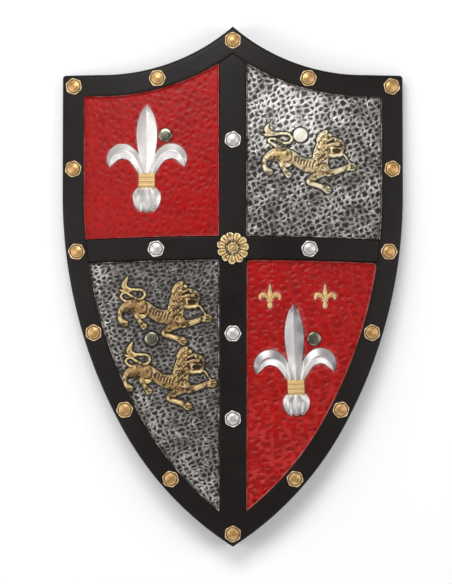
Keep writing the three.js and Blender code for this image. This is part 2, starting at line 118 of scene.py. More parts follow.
LOWER_RADIUS = -(tip_dx**2 + tip_dy**2) / (2 * (tip_dx * math.cos(TURN) + tip_dy * math.sin(TURN)))
LOWER_CENTRE = (turn_x - LOWER_RADIUS * math.cos(TURN), turn_y - LOWER_RADIUS * math.sin(TURN))
print("lower side radius", round(LOWER_RADIUS, 1), "mm")


def arc(centre, radius, start, end, steps):
    angle = start + (end - start) * np.arange(steps) / steps
    return np.stack([centre[0] + radius * np.cos(angle), centre[1] + radius * np.sin(angle)], 1)


def half_outline(inset):
    """The right half of the outline moved inwards, from the top point to the bottom one."""
    radius = TOP_RADIUS + inset
    top = arc(TOP_CENTRE, radius, -math.acos(-TOP_CENTRE[0] / radius), -math.pi / 2, 56)
    fillet = max(CORNER_RADIUS - inset, INNER_CORNER_RADIUS)
    corner = (HALF_WIDTH - inset - fillet, SHOULDER_Y - inset - fillet)
    shoulder = np.linspace((SHOULDER_X, SHOULDER_Y - inset), (corner[0], SHOULDER_Y - inset), 14)[:-1]
    side_x = HALF_WIDTH - inset
    side = np.linspace((side_x, corner[1]), (side_x, STRAIGHT_END_Y), 40)[:-1]
    radius = LOWER_RADIUS - inset
    end = -math.acos(-LOWER_CENTRE[0] / radius)
    tip = [[0, LOWER_CENTRE[1] + radius * math.sin(end)]]
    upper = arc(UPPER_CENTRE, UPPER_SIDE_RADIUS - inset, 0, TURN, 84)
    lower = arc(LOWER_CENTRE, radius, TURN, end, 56)
    return np.concatenate([top, shoulder, arc(corner, fillet, math.pi / 2, 0, 6), side, upper, lower, tip])


def outline(inset):
    """The whole outline moved inwards, as a closed line."""
    right = half_outline(inset)
    left = right[-2:0:-1] * (-1, 1)
    return np.concatenate([right, left, right[:1]])


def dome(x, y):
    return CROWN_HEIGHT - FALL_ACROSS * (x / HALF_WIDTH) ** 2 - FALL_ALONG * (y / HALF_HEIGHT) ** 2


def depth_inside(x, y):
    """How far a point lies inside the outline."""
    x = np.abs(x)
    from_upper = UPPER_SIDE_RADIUS - np.hypot(x - UPPER_CENTRE[0], y - UPPER_CENTRE[1])
    from_lower = LOWER_RADIUS - np.hypot(x - LOWER_CENTRE[0], y - LOWER_CENTRE[1])
    side = np.where(y > STRAIGHT_END_Y, HALF_WIDTH - x, np.where(y > turn_y, from_upper, from_lower))
    arch = np.hypot(x - TOP_CENTRE[0], y - TOP_CENTRE[1]) - TOP_RADIUS
    top = np.where(x > SHOULDER_X, SHOULDER_Y - y, arch)
    return np.minimum(side, top)


def crossbar_line(x):
    return CROSS_Y - CROSSBAR_DROOP * (x / CROSSBAR_DROOP_AT) ** 2


# %% [markdown]
# A height map becomes a mesh in one call: bmesh makes the grid, and the arrays say where each corner
# goes. Masks for the paint, such as how deep a spot lies in a crease, are saved on the corners as
# attributes, because paint on the real thing also follows the relief, and so do the painted shade and
# the painted highlights.

# %% From height maps to meshes
def grid(columns, rows):
    return np.meshgrid(np.linspace(0, 1, columns + 1), np.linspace(0, 1, rows + 1))


def add_masks(mesh, masks):
    for name, values in masks.items():
        attribute = mesh.attributes.new(name, "FLOAT", "POINT")
        attribute.data.foreach_set("value", np.asarray(values, dtype=np.float32).ravel())


def as_mesh(name, bm):
    """The bmesh as a mesh. The bmesh itself is freed."""
    mesh = bpy.data.meshes.new(name)
    bm.to_mesh(mesh)
    bm.free()
    return mesh


def add_object(name, data):
    made = bpy.data.objects.new(name, data)
    bpy.context.scene.collection.objects.link(made)
    return made


def sheet(x, y, z, masks=None, keep=None, closed=False):
    """A bmesh whose corners lie at the arrays' places, in millimetres, with its faces up."""
    rows, columns = (size - 1 for size in x.shape)
    bm = bmesh.new()
    bmesh.ops.create_grid(bm, x_segments=columns, y_segments=rows, size=0.5)
    mesh = as_mesh("sheet", bm)
    mesh.vertices.foreach_set("co", (np.stack([x, y, z], -1) * MM).ravel())
    add_masks(mesh, masks or {})
    bm = bmesh.new()
    bm.from_mesh(mesh)
    bpy.data.meshes.remove(mesh)
    if keep is not None:
        kept = keep.ravel()
        lost = [vert for vert, stays in zip(bm.verts, kept) if not stays]
        bmesh.ops.delete(bm, geom=lost, context="VERTS")
    if closed:
        bmesh.ops.remove_doubles(bm, verts=bm.verts, dist=MM * 0.001)
        bmesh.ops.recalc_face_normals(bm, faces=bm.faces)
    elif sum(face.normal.z for face in list(bm.faces)[::97]) < 0:
        bmesh.ops.reverse_faces(bm, faces=bm.faces)
    return bm


def finish_piece(name, bm, material, node="shield_shell"):
    mesh = as_mesh(name, bm)
    mesh.materials.append(material)
    mesh.shade_smooth()
    piece = add_object(name, mesh)
    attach(piece, "root")
    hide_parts(node)
    print(name, len(mesh.polygons), "faces")


# %% Noise, cells and soft steps
def soft_step(value, low, high):
    share = np.clip((value - low) / (high - low), 0, 1)
    return share * share * (3 - 2 * share)


def soft_max(a, b, blend):
    return np.maximum(a, b) + np.maximum(blend - np.abs(a - b), 0) ** 2 / (4 * blend)


def noise(x, y, size, seed):
    """Smooth noise from -1 to 1, whose bumps are about size millimetres apart."""
    table = np.random.default_rng(seed).uniform(-1, 1, (64, 64))
    gx, gy = x / size, y / size
    ix, iy = np.floor(gx).astype(int), np.floor(gy).astype(int)
    fx, fy = soft_step(gx - ix, 0, 1), soft_step(gy - iy, 0, 1)
    row = lambda j: table[ix % 64, j % 64] * (1 - fx) + table[(ix + 1) % 64, j % 64] * fx
    return row(iy) * (1 - fy) + row(iy + 1) * fy


def cells(x, y, size, seed, spread):
    """Distances to the nearest and second nearest of scattered points, as shares of size."""
    jitter = np.random.default_rng(seed).uniform(0.5 - spread, 0.5 + spread, (64, 64, 2))
    gx, gy = x / size, y / size
    ix, iy = np.floor(gx).astype(int), np.floor(gy).astype(int)
    near = np.full(x.shape, 9.0)
    second = near.copy()
    for dx in (-1, 0, 1):
        for dy in (-1, 0, 1):
            spot = jitter[(ix + dx) % 64, (iy + dy) % 64]
            away = np.hypot(ix + dx + spot[..., 0] - gx, iy + dy + spot[..., 1] - gy)
            second = np.minimum(second, np.maximum(near, away))
            near = np.minimum(near, away)
    return near, second


def blurred(height, reach):
    """The map averaged over reach cells each way, along both of its directions."""
    kernel = np.hanning(2 * reach + 3)[1:-1]
    kernel /= kernel.sum()
    padded = np.pad(height, reach, mode="edge")
    rows = np.apply_along_axis(np.convolve, 1, padded, kernel, mode="valid")
    return np.apply_along_axis(np.convolve, 0, rows, kernel, mode="valid")


# %% [markdown]
# An ornament is drawn as a brush would draw it: a ridge follows a few stations, each with its place,
# width and height, and the highest ridge wins. Grooves are cut into the result afterwards, as a
# sculptor cuts ribs and locks into a finished body.

# %% Ridges and grooves
def smooth_line(stations, parts=8):
    """More stations along a curve that passes through the given ones."""
    points = np.asarray(stations, float)
    ends = np.concatenate([[2 * points[0] - points[1]], points, [2 * points[-1] - points[-2]]])
    out = []
    for i in range(len(points) - 1):
        a, b, c, d = ends[i : i + 4]
        for t in np.arange(parts) / parts:
            bend = 2 * a - 5 * b + 4 * c - d
            twist = 3 * b - a - 3 * c + d
            out.append(0.5 * (2 * b + (c - a) * t + bend * t**2 + twist * t**3))
    return np.array(out + [points[-1]])


def ridge(x, y, stations, keel=False, flank=0.0):
    """Height of a ridge over the ground: round across, or with two flat flanks and a sharp keel."""
    best = np.full(x.shape, -SUNK)
    line = smooth_line(stations)
    for a, b in zip(line, line[1:]):
        along = b[:2] - a[:2]
        t = np.clip(((x - a[0]) * along[0] + (y - a[1]) * along[1]) / max(along @ along, 1e-9), 0, 1)
        away = np.hypot(x - a[0] - t * along[0], y - a[1] - t * along[1])
        half = np.maximum((a[2] + t * (b[2] - a[2])) / 2, 0.05)
        tall = a[3] + t * (b[3] - a[3])
        off = away / half
        roof = np.clip(1 - off, 0, 1) if keel else np.sqrt(np.clip(1 - off**2, 0, 1))
        inside = tall * (flank + (1 - flank) * roof)
        best = np.maximum(best, np.where(off < 1, inside, (half - away) * 3))
    return np.maximum(best, -SUNK)


def groove(x, y, stations, width):
    """How much of a groove's full depth reaches each point, from 0 to 1."""
    points = smooth_line(stations, 5)
    best = np.full(x.shape, 99.0)
    for a, b in zip(points, points[1:]):
        along = b - a
        t = np.clip(((x - a[0]) * along[0] + (y - a[1]) * along[1]) / max(along @ along, 1e-9), 0, 1)
        best = np.minimum(best, np.hypot(x - a[0] - t * along[0], y - a[1] - t * along[1]))
    return np.exp(-((best / width) ** 2) * 2)


# %% [markdown]
# Paints: a moulding like this is sprayed black, and then the red, gold and silver go on by brush. So
# each paint is a Principled shader whose colour wanders a little, with a wash, painted shade, painted
# highlights or bare patches taken from the masks. What several paints share, an uneven brushed tone
# and a fine grain, are node groups.

# %% Shared node groups
def new_group(name, inputs, outputs):
    group = bpy.data.node_groups.new(name, "ShaderNodeTree")
    for label, kind, value in inputs:
        socket = group.interface.new_socket(label, in_out="INPUT", socket_type=kind)
        socket.default_value = value
    for label, kind in outputs:
        group.interface.new_socket(label, in_out="OUTPUT", socket_type=kind)
    return group, group.nodes.new("NodeGroupInput"), group.nodes.new("NodeGroupOutput")


def uneven_tone_group():
    group, given, made = new_group(
        "Uneven tone",
        [
            ("Color", "NodeSocketColor", (0.5, 0.5, 0.5, 1)),
            ("Second Color", "NodeSocketColor", (0.4, 0.4, 0.4, 1)),
            ("Scale", "NodeSocketFloat", 60),
            ("Amount", "NodeSocketFloat", 0.3),
        ],
        [("Color", "NodeSocketColor")],
    )
    place = group.nodes.new("ShaderNodeTexCoord")
    cloud = group.nodes.new("ShaderNodeTexNoise")
    cloud.inputs["Detail"].default_value = 5
    cloud.inputs["Roughness"].default_value = 0.62
    spread = group.nodes.new("ShaderNodeMapRange")
    spread.inputs["From Min"].default_value = 0.35
    spread.inputs["From Max"].default_value = 0.68
    strength = group.nodes.new("ShaderNodeMath")
    strength.operation = "MULTIPLY"
    mix = group.nodes.new("ShaderNodeMix")
    mix.data_type = "RGBA"
    link = group.links.new
    link(place.outputs["Object"], cloud.inputs["Vector"])
    link(given.outputs["Scale"], cloud.inputs["Scale"])
    link(cloud.outputs["Fac"], spread.inputs["Value"])
    link(spread.outputs["Result"], strength.inputs[0])
    link(given.outputs["Amount"], strength.inputs[1])
    link(strength.outputs["Value"], mix.inputs["Factor"])
    link(given.outputs["Color"], mix.inputs["A"])
    link(given.outputs["Second Color"], mix.inputs["B"])
    link(mix.outputs["Result"], made.inputs["Color"])
    return group


def grain_group():
    group, given, made = new_group(
        "Fine grain",
        [("Scale", "NodeSocketFloat", 900), ("Distance", "NodeSocketFloat", 0.0001)],
        [("Normal", "NodeSocketVector"), ("Value", "NodeSocketFloat")],
    )
    place = group.nodes.new("ShaderNodeTexCoord")
    cloud = group.nodes.new("ShaderNodeTexNoise")
    cloud.inputs["Detail"].default_value = 3
    bump = group.nodes.new("ShaderNodeBump")
    bump.inputs["Strength"].default_value = 0.6
    link = group.links.new
    link(place.outputs["Object"], cloud.inputs["Vector"])
    link(given.outputs["Scale"], cloud.inputs["Scale"])
    link(cloud.outputs["Fac"], bump.inputs["Height"])
    link(given.outputs["Distance"], bump.inputs["Distance"])
    link(bump.outputs["Normal"], made.inputs["Normal"])
    link(cloud.outputs["Fac"], made.inputs["Value"])
    return group


UNEVEN_TONE = uneven_tone_group()
FINE_GRAIN = grain_group()
print("groups:", UNEVEN_TONE.name, FINE_GRAIN.name)


# %% Paint materials
def srgb(red, green, blue):
    """A colour as seen on a screen, turned into the linear values that shaders take."""
    linear = (((c / 255 + 0.055) / 1.055) ** 2.4 if c > 10 else c / 255 / 12.92 for c in (red, green, blue))
    return (*linear, 1)


class Paint:
    """A material under construction: its nodes, its links and its Principled shader."""

    def __init__(self, name, roughness, metallic=0.0):
        self.material = bpy.data.materials.new(name)
        self.material.use_nodes = True
        self.nodes = self.material.node_tree.nodes
        self.link = self.material.node_tree.links.new
        self.shader = self.nodes["Principled BSDF"]
        self.shader.inputs["Roughness"].default_value = roughness
        self.shader.inputs["Metallic"].default_value = metallic

    def group(self, tree, values):
        node = self.nodes.new("ShaderNodeGroup")
        node.node_tree = tree
        for label, value in values.items():
            node.inputs[label].default_value = value
        return node

    def tone(self, color, second, scale, amount):
        values = {"Color": color, "Second Color": second, "Scale": scale, "Amount": amount}
        return self.group(UNEVEN_TONE, values).outputs["Color"]

    def grain(self, scale, distance):
        node = self.group(FINE_GRAIN, {"Scale": scale, "Distance": distance})
        self.link(node.outputs["Normal"], self.shader.inputs["Normal"])

    def stretched(self, value, low, high):
        """A value stretched so that low gives 0 and high gives 1."""
        node = self.nodes.new("ShaderNodeMapRange")
        node.inputs["From Min"].default_value = low
        node.inputs["From Max"].default_value = high
        self.link(value, node.inputs["Value"])
        return node.outputs["Result"]

    def mask(self, name, low=0.0, high=1.0):
        """A mask saved on the mesh."""
        node = self.nodes.new("ShaderNodeAttribute")
        node.attribute_name = name
        return self.stretched(node.outputs["Fac"], low, high)

    def cloud(self, scale, low, high, detail=4):
        place = self.nodes.new("ShaderNodeTexCoord")
        node = self.nodes.new("ShaderNodeTexNoise")
        node.inputs["Scale"].default_value = scale
        node.inputs["Detail"].default_value = detail
        self.link(place.outputs["Object"], node.inputs["Vector"])
        return self.stretched(node.outputs["Fac"], low, high)

    def math(self, operation, a, b):
        node = self.nodes.new("ShaderNodeMath")
        node.operation = operation
        for socket, value in zip(node.inputs, (a, b)):
            if isinstance(value, (int, float)):
                socket.default_value = value
            else:
                self.link(value, socket)
        return node.outputs["Value"]

    def mix(self, factor, a, b, blend="MIX"):
        node = self.nodes.new("ShaderNodeMix")
        node.data_type = "RGBA"
        node.blend_type = blend
        for label, value in (("Factor", factor), ("A", a), ("B", b)):
            if isinstance(value, (int, tuple)):
                node.inputs[label].default_value = value
            else:
                self.link(value, node.inputs[label])
        return node.outputs["Result"]

    def number(self, factor, low, high):
        """A factor from 0 to 1 turned into a value from low to high."""
        node = self.nodes.new("ShaderNodeMapRange")
        node.inputs["To Min"].default_value = low
        node.inputs["To Max"].default_value = high
        self.link(factor, node.inputs["Value"])
        return node.outputs["Result"]

    def color(self, socket):
        self.link(socket, self.shader.inputs["Base Color"])
        return self


def black_paint():
    paint = Paint("black_paint", 0.4)
    paint.shader.inputs["Specular IOR Level"].default_value = 0.17
    tone = paint.tone(srgb(20, 15, 14), srgb(31, 26, 24), 22, 0.5)
    specks = paint.cloud(420, 0.66, 0.74, 2)
    dusty = paint.mix(paint.math("MULTIPLY", specks, 0.1), tone, srgb(96, 90, 86))
    paint.link(paint.number(paint.cloud(34, 0.3, 0.75), 0.34, 0.5), paint.shader.inputs["Roughness"])
    paint.grain(700, 0.00012)
    return paint.color(dusty).material


def red_paint():
    paint = Paint("red_paint", 0.3)
    paint.shader.inputs["Specular IOR Level"].default_value = 0.18
    tone = paint.tone(srgb(168, 9, 7), srgb(142, 8, 6), 38, 0.7)
    # Darker red down in the hammer dents: a painted shade.
    shade_and_sheen = paint.mix(paint.mask("hollow", 0.1, 1.6), tone, srgb(122, 10, 8))
    # Paler red on the crests: a painted sheen.
    shade_and_sheen = paint.mix(paint.mask("crest"), shade_and_sheen, srgb(222, 84, 74))
    streaks = paint.mix(paint.math("MULTIPLY", paint.cloud(170, 0.45, 0.75), 0.5), shade_and_sheen, srgb(118, 14, 12))
    rubbed = paint.mix(paint.math("MULTIPLY", paint.mask("lip"), 0.65), streaks, srgb(206, 140, 134))
    rubbed = paint.mix(paint.mask("black"), rubbed, srgb(22, 17, 16))
    paint.link(paint.number(paint.cloud(60, 0.3, 0.7), 0.3, 0.42), paint.shader.inputs["Roughness"])
    paint.grain(1100, 0.00008)
    return paint.color(rubbed).material


def brushed_silver_over_black():
    paint = Paint("silver_over_black", 0.4)
    wander = paint.number(paint.cloud(620, 0.3, 0.7, 3), -0.16, 0.16)
    cover = paint.math("ADD", paint.mask("paint"), wander)
    ramp = paint.nodes.new("ShaderNodeValToRGB")
    ramp.color_ramp.elements[0].position = 0.08
    ramp.color_ramp.elements[0].color = srgb(28, 25, 24)
    ramp.color_ramp.elements[1].position = 1.0
    ramp.color_ramp.elements[1].color = srgb(238, 235, 232)
    for position, tone in ((0.3, (64, 60, 58)), (0.55, (122, 118, 114)), (0.8, (190, 186, 182))):
        ramp.color_ramp.elements.new(position).color = srgb(*tone)
    paint.link(cover, ramp.inputs["Fac"])
    dull = paint.tone(srgb(255, 255, 255), srgb(205, 200, 194), 90, 0.6)
    tinted = paint.mix(1, ramp.outputs["Color"], dull, "MULTIPLY")
    paint.link(paint.number(cover, 0.0, 0.4), paint.shader.inputs["Metallic"])
    paint.link(paint.number(cover, 0.5, 0.36), paint.shader.inputs["Roughness"])
    paint.shader.inputs["Specular IOR Level"].default_value = 0.3
    paint.grain(900, 0.0001)
    return paint.color(tinted).material


def wash_and_shade_paint(
    name, light, dark, wash_and_shade, metallic, roughness, wash_and_shade_amount=0.9, crest_paint_and_highlight=(1, 1, 1, 1), stains=0.0, gilt=None
):
    """Metallic paint with dry-brushed paint and a painted highlight on its crests, and a dark wash and
    painted shade in its creases.
    """
    paint = Paint(name, roughness, metallic)
    tone = paint.tone(light, dark, 120, 0.55)
    # Crests take a paler colour: dry-brushed paint, and a painted highlight.
    tone = paint.mix(paint.mask("crest", 0.05, 0.7), tone, crest_paint_and_highlight)
    if gilt:
        # Painted shade on one flank of each petal, on the leaves' outer flanks and on the bulb.
        tone = paint.mix(paint.mask("shade"), tone, srgb(114, 110, 113))
        tone = paint.mix(paint.mask("gilt"), tone, gilt)
    # The crease colour is a dark wash and a painted shade in the creases.
    crease = paint.math("MULTIPLY", paint.mask("crease"), wash_and_shade_amount)
    stain = paint.math("MULTIPLY", paint.cloud(330, 0.56, 0.74, 4), stains)
    creased = paint.math("MULTIPLY", crease, paint.number(paint.cloud(700, 0.3, 0.65, 3), 0.6, 1.2))
    ragged = paint.math("ADD", creased, stain)
    paint.grain(1000, 0.00006)
    return paint.color(paint.mix(ragged, tone, wash_and_shade)).material


BLACK = black_paint()
RED = red_paint()
SILVERED = brushed_silver_over_black()
SILVER = wash_and_shade_paint(
    "silver_paint", srgb(214, 208, 206), srgb(170, 164, 162), srgb(60, 55, 54),
    0.5, 0.3, 1.3, srgb(248, 247, 246), 0.15,
)
SILVER_AND_GOLD = wash_and_shade_paint(
    "silver_and_gold", srgb(238, 234, 231), srgb(208, 202, 198), srgb(84, 76, 72),
    0.45, 0.34, 0.9, srgb(252, 250, 249), 0.1, gilt=srgb(220, 186, 128),
)
GOLD = wash_and_shade_paint(
    "gold_paint", srgb(198, 156, 98), srgb(152, 108, 60), srgb(50, 29, 12),
    0.5, 0.3, 1.3, srgb(242, 216, 168), 0.3,
)
OLD_GOLD = wash_and_shade_paint(
    "old_gold_paint", srgb(206, 178, 122), srgb(154, 120, 68), srgb(60, 36, 12),
    0.35, 0.36, 1.25, srgb(255, 246, 212), 0.5,
)
# A darker, browner copy of the gold, for the two lower lions.
DARK_GOLD = wash_and_shade_paint(
    "dark_gold_paint", srgb(160, 124, 72), srgb(100, 68, 32), srgb(44, 24, 9),
    0.35, 0.4, 1.3, srgb(234, 208, 150), 0.65,
)
PALE_GOLD = wash_and_shade_paint(
    "pale_gold_paint", srgb(212, 174, 108), srgb(176, 134, 72), srgb(56, 33, 12),
    0.35, 0.38, 1.35, srgb(255, 240, 194), 0.45,
)
PAINTS = (BLACK, RED, SILVERED, SILVER, SILVER_AND_GOLD, GOLD, OLD_GOLD, DARK_GOLD, PALE_GOLD)
print("paints:", [paint.name for paint in PAINTS])

# %% [markdown]
# The border is one closed ring. Its section is drawn once, as inset and height, with round shoulders
# where the moulding tool had a radius, and it is carried round the outline. Rings of equal counts at
# different insets line up by themselves, which keeps the mitres at the points and corners sharp.

# %% Border
def quarter_round(centre_inset, centre_height, radius, start, end, steps):
    angle = np.radians(np.linspace(start, end, steps))
    return [(centre_inset + radius * math.cos(a), centre_height + radius * math.sin(a)) for a in angle]


def border_section():
    """Insets from the edge and heights over the face, round the ring's section."""
    top, lip, lip_round = BORDER_RISE, LIP_INSET, 0.7
    outer = quarter_round(EDGE_ROUND, top - EDGE_ROUND, EDGE_ROUND, 180, 90, 7)
    flat = [(inset, top) for inset in np.linspace(EDGE_ROUND, lip - lip_round, 8)[1:]]
    inner = quarter_round(lip - lip_round, top - lip_round, lip_round, 90, 10, 4)[1:]
    down = [(lip + 0.35, top * 0.5), (lip + 0.9, -0.4), (lip + 0.9, -WALL)]
    under = [(BORDER_WIDTH - WALL, top - WALL), (WALL + 2.5, top - WALL), (WALL, top - WALL - 2.5)]
    return outer + flat + inner + down + under


def border():
    section = border_section()
    rings = [outline(inset) for inset, _ in section]
    # Down the inner wall, across the rim that the shield lies on, and up the outer wall
    rings += [outline(WALL), outline(WALL), outline(WALL * 0.5), outline(0), outline(0), outline(0)]
    heights = [dome(*ring.T) + rise for ring, (_, rise) in zip(rings, section)]
    rim = outline(0)
    face = dome(*rim.T) + BORDER_RISE - EDGE_ROUND
    heights += [np.full(len(rim), level) for level in (8.0, 0.0, 0.0, 0.0)] + [face * 0.35, face * 0.7]
    rings.append(rings[0])
    heights.append(heights[0])
    x = np.stack([ring[:, 0] for ring in rings])
    y = np.stack([ring[:, 1] for ring in rings])
    return sheet(x, y, np.stack(heights), closed=True)


finish_piece("border", border(), BLACK)

# %% [markdown]
# The cross is a raised strip with rounded edges, once upright and twice sideways. The side strips
# start just inside the upright and lie a hair lower, so that the three read as one moulding.

# %% Cross
def strip_profile(half, share):
    """Offset across a strip and height over the face, as share runs from 0 to 1 over the strip."""
    reach = half + 0.35
    across = (2 * share - 1) * reach
    edge = np.clip((np.abs(across) - (half - 0.9)) / 1.25, 0, 1)
    return across, CROSS_RISE - 1.1 * edge**2 - (CROSS_RISE + 0.2) * soft_step(edge, 0.7, 1.0)


def upright():
    share, along = grid(28, 420)
    top, bottom = outline(BORDER_WIDTH)[0][1] + 3, half_outline(BORDER_WIDTH)[-1][1] - 3
    x, rise = strip_profile(UPRIGHT_HALF, share)
    y = bottom + (top - bottom) * along
    return sheet(x, y, dome(x, y) + rise)


def crossbar(side):
    along, share = grid(130, 24)
    start, end = UPRIGHT_HALF - 1.6, HALF_WIDTH - BORDER_WIDTH + 4
    x = side * (start + (end - start) * along)
    off, rise = strip_profile(CROSSBAR_HALF, share)
    y = crossbar_line(x) + off
    return sheet(x, y, dome(x, y) + rise - 0.02)


def joined(parts):
    """One bmesh that holds the faces of several."""
    whole = bmesh.new()
    for part in parts:
        mesh = as_mesh("part", part)
        whole.from_mesh(mesh)
        bpy.data.meshes.remove(mesh)
    return whole


finish_piece("cross", joined([upright(), crossbar(-1), crossbar(1)]), BLACK)

# %% [markdown]
# The four grounds are hammered. Scattered points give the dents: a dent is deepest at its point and
# the crests run where two dents meet. The map is bent by noise first, so that no dent is round, and a
# direction of stretch gives each quarter its own run of the hammer.

# %% Hammered grounds
LIP_WIDTH = 1.6
HALO_CELLS = 4
HALO_STRENGTH = 2.3
LARGEST_ORNAMENT = (50, 80)  # half its width and the most that it reaches up or down


def rounded_gap(first, second, radius):
    """The nearer of two walls, with the corner between them rounded."""
    inside = (first < radius) & (second < radius)
    return np.where(inside, radius - np.hypot(radius - first, radius - second), np.minimum(first, second))


def wall_gap(x, y, corner):
    """How far the ground's rim is, to the cross and to the border."""
    to_upright = np.abs(x) - UPRIGHT_HALF
    to_crossbar = np.abs(y - crossbar_line(x)) - CROSSBAR_HALF
    to_border = depth_inside(x, y) - LIP_INSET
    to_cross = rounded_gap(to_upright, to_crossbar, corner)
    return to_cross, np.where(to_crossbar < corner, rounded_gap(to_border, to_crossbar, corner), to_border)


def wall_rise(x, y, corner):
    """How the ground climbs to the cross and the border that frame it."""
    climb = lambda gap, rise: rise * (1 - soft_step(gap, 0.0, LIP_WIDTH))
    to_cross, to_border = wall_gap(x, y, corner)
    return np.maximum(climb(to_cross, CROSS_RISE - 0.25), climb(to_border, BORDER_RISE - 0.3))


def dent_field(x, y, recipe, seed):
    """Cells of the hammer: nearest and second nearest distances, bent and stretched."""
    c, s = math.cos(math.radians(recipe["angle"])), math.sin(math.radians(recipe["angle"]))
    bend_x = 1.5 * noise(x, y, 9, seed) + 0.6 * noise(x, y, 3.1, seed + 1)
    bend_y = 1.5 * noise(x, y, 9, seed + 2) + 0.6 * noise(x, y, 3.1, seed + 3)
    u = (x * c + y * s + bend_x) / recipe["stretch"]
    v = -x * s + y * c + bend_y
    return cells(u + 400, v + 400, recipe["size"], seed + 4, recipe["spread"])


def dents_height(near, second, soft):
    """Height of the hammered ground, from about -1 in a dent to 0 on a crest."""
    return -soft_step(second - near, 0.02, soft) * (1.1 - 0.55 * near)


def silver_cover(x, y, near, second, recipe, seed):
    """Dry-brushed silver: full on the crests, and less and less down into the dents."""
    reach = recipe["cover"](x, y)
    ragged = 0.2 * noise(x, y, 1.3, seed + 8) + 0.12 * noise(x, y, 0.6, seed + 9)
    ragged = ragged - 0.1 * soft_step(noise(x, y, 4, seed + 10), 0, 0.8)
    pit = soft_step(second - near + ragged, 0.16, 0.56)
    patchy = 0.82 + 0.2 * noise(x, y, 9, seed + 20) + 0.16 * noise(x, y, 2.6, seed + 21)
    crest = (0.6 + 0.56 * reach) * patchy
    floor = 0.36 * reach**1.5 - 0.04 + 0.26 * near * patchy
    return crest * (1 - pit) + np.minimum(floor, crest) * pit


def inner_side_x(y):
    """The border's inner lip at a height y, on the right."""
    on_arc = lambda c, radius: c[0] + np.sqrt(np.maximum((radius - LIP_INSET) ** 2 - (y - c[1]) ** 2, 0))
    upper, lower = on_arc(UPPER_CENTRE, UPPER_SIDE_RADIUS), on_arc(LOWER_CENTRE, LOWER_RADIUS)
    return np.where(y > STRAIGHT_END_Y, HALF_WIDTH - LIP_INSET, np.where(y > turn_y, upper, lower))


def inner_top_y(x):
    """The border's inner lip over a place x, on the right."""
    radius = TOP_RADIUS + LIP_INSET
    arch = TOP_CENTRE[1] - np.sqrt(np.maximum(radius**2 - (x - TOP_CENTRE[0]) ** 2, 0))
    return np.where(x > SHOULDER_X, SHOULDER_Y - LIP_INSET, arch)


def quarter_places(side, upper, columns, rows):
    """Where a quarter's grid corners lie between the cross and the border."""
    across, along = grid(columns, rows)
    x = UPRIGHT_HALF + across * (HALF_WIDTH - LIP_INSET - UPRIGHT_HALF)
    for _ in range(4):  # x and y depend on each other, and a few rounds settle both
        if upper:
            start, end = crossbar_line(x) + CROSSBAR_HALF, inner_top_y(x)
        else:
            start, end = crossbar_line(x) - CROSSBAR_HALF, tip_end_y()
        y = start + (end - start) * along
        x = UPRIGHT_HALF + across * (np.maximum(inner_side_x(y), UPRIGHT_HALF + 0.4) - UPRIGHT_HALF)
    return side * x, y


def tip_end_y():
    """Where the border's inner lip meets the upright, low on the shield."""
    radius = LOWER_RADIUS - LIP_INSET
    return LOWER_CENTRE[1] - math.sqrt(radius**2 - (UPRIGHT_HALF - LOWER_CENTRE[0]) ** 2)


def lip_mask(x, y, corner):
    """The band along the ground's edge where a dry brush has left a pale line."""
    rise = wall_rise(x, y, corner)
    ragged = (0.7 + 0.6 * noise(x, y, 7, 31)) * (0.75 + 0.45 * noise(x, y, 1.5, 32))
    return np.clip(soft_step(rise, 0.8, 1.9) * ragged, 0, 1)


def halo(x, y, reliefs):
    """How close each corner of the ground is to the foot of an ornament, from 0 to 1."""
    covered = np.zeros(x.shape)
    for height, place in reliefs:
        u, v = x - place[0], y - place[1]
        box = (np.abs(u) < LARGEST_ORNAMENT[0]) & (np.abs(v) < LARGEST_ORNAMENT[1])
        covered[box] = np.maximum(covered[box], height(u[box], v[box]) > -0.5)
    return np.clip(blurred(covered, HALO_CELLS) * HALO_STRENGTH, 0, 1)


def ground(side, upper, recipe, columns, rows, seed, reliefs):
    """One hammered quarter: its dents, its climb to the bars and the masks for its paint."""
    x, y = quarter_places(side, upper, columns, rows)
    near, second = dent_field(x, y, recipe, seed)
    dents = dents_height(near, second, recipe["soft"])
    rise = wall_rise(x, y, recipe["corner"])
    uneven = 0.12 * noise(x, y, 2.2, seed + 5) + 0.25 * noise(x, y, 17, seed + 6)
    z = dome(x, y) + rise + recipe["depth"] * (dents + uneven) * (1 - 0.85 * soft_step(rise, 0.05, 1.2))
    masks = {"hollow": np.clip(-dents, 0, 1), "lip": lip_mask(x, y, recipe["corner"])}
    masks["black"] = 1 - soft_step(np.minimum(*wall_gap(x, y, recipe["corner"])), -0.2, 0.25)
    close = halo(x, y, reliefs)
    if recipe["silver"]:
        # Silver is kept off a band round each ornament and rivet: bare black ground, and a painted shadow
        # at their foot.
        cover = silver_cover(x, y, near, second, recipe, seed) * (1 - 0.95 * close)
        masks["paint"] = np.clip(np.maximum(cover * np.where(rise < 0.4, 1, 0.5), 1.1 * masks["lip"]), 0, 1)
    else:
        spill = close * (0.35 + 0.5 * noise(x, y, 3, seed + 7) + 0.3 * noise(x, y, 0.9, seed + 8))
        masks["lip"] = np.clip(masks["lip"] + 0.8 * np.clip(spill, 0, 1), 0, 1)
        # A painted sheen on the red crests, stronger towards the bottom.
        lower = 0.25 + 0.75 * soft_step(-y, 40, 170)
        crests = dents + 0.6 * noise(x, y, 4, seed + 12)
        masks["crest"] = recipe["sheen"] * lower * soft_step(crests, -0.35, 0.4)
    return sheet(x, y, z, masks)


def upper_cover_and_highlight(x, y):
    """More silver, and with it a painted highlight, high up by the upright; less towards the lower right.
    """
    away = np.hypot((x - 48) / 66, (y - 155) / 46)
    return 0.3 + 0.62 * soft_step(1.25 - away, 0, 1)


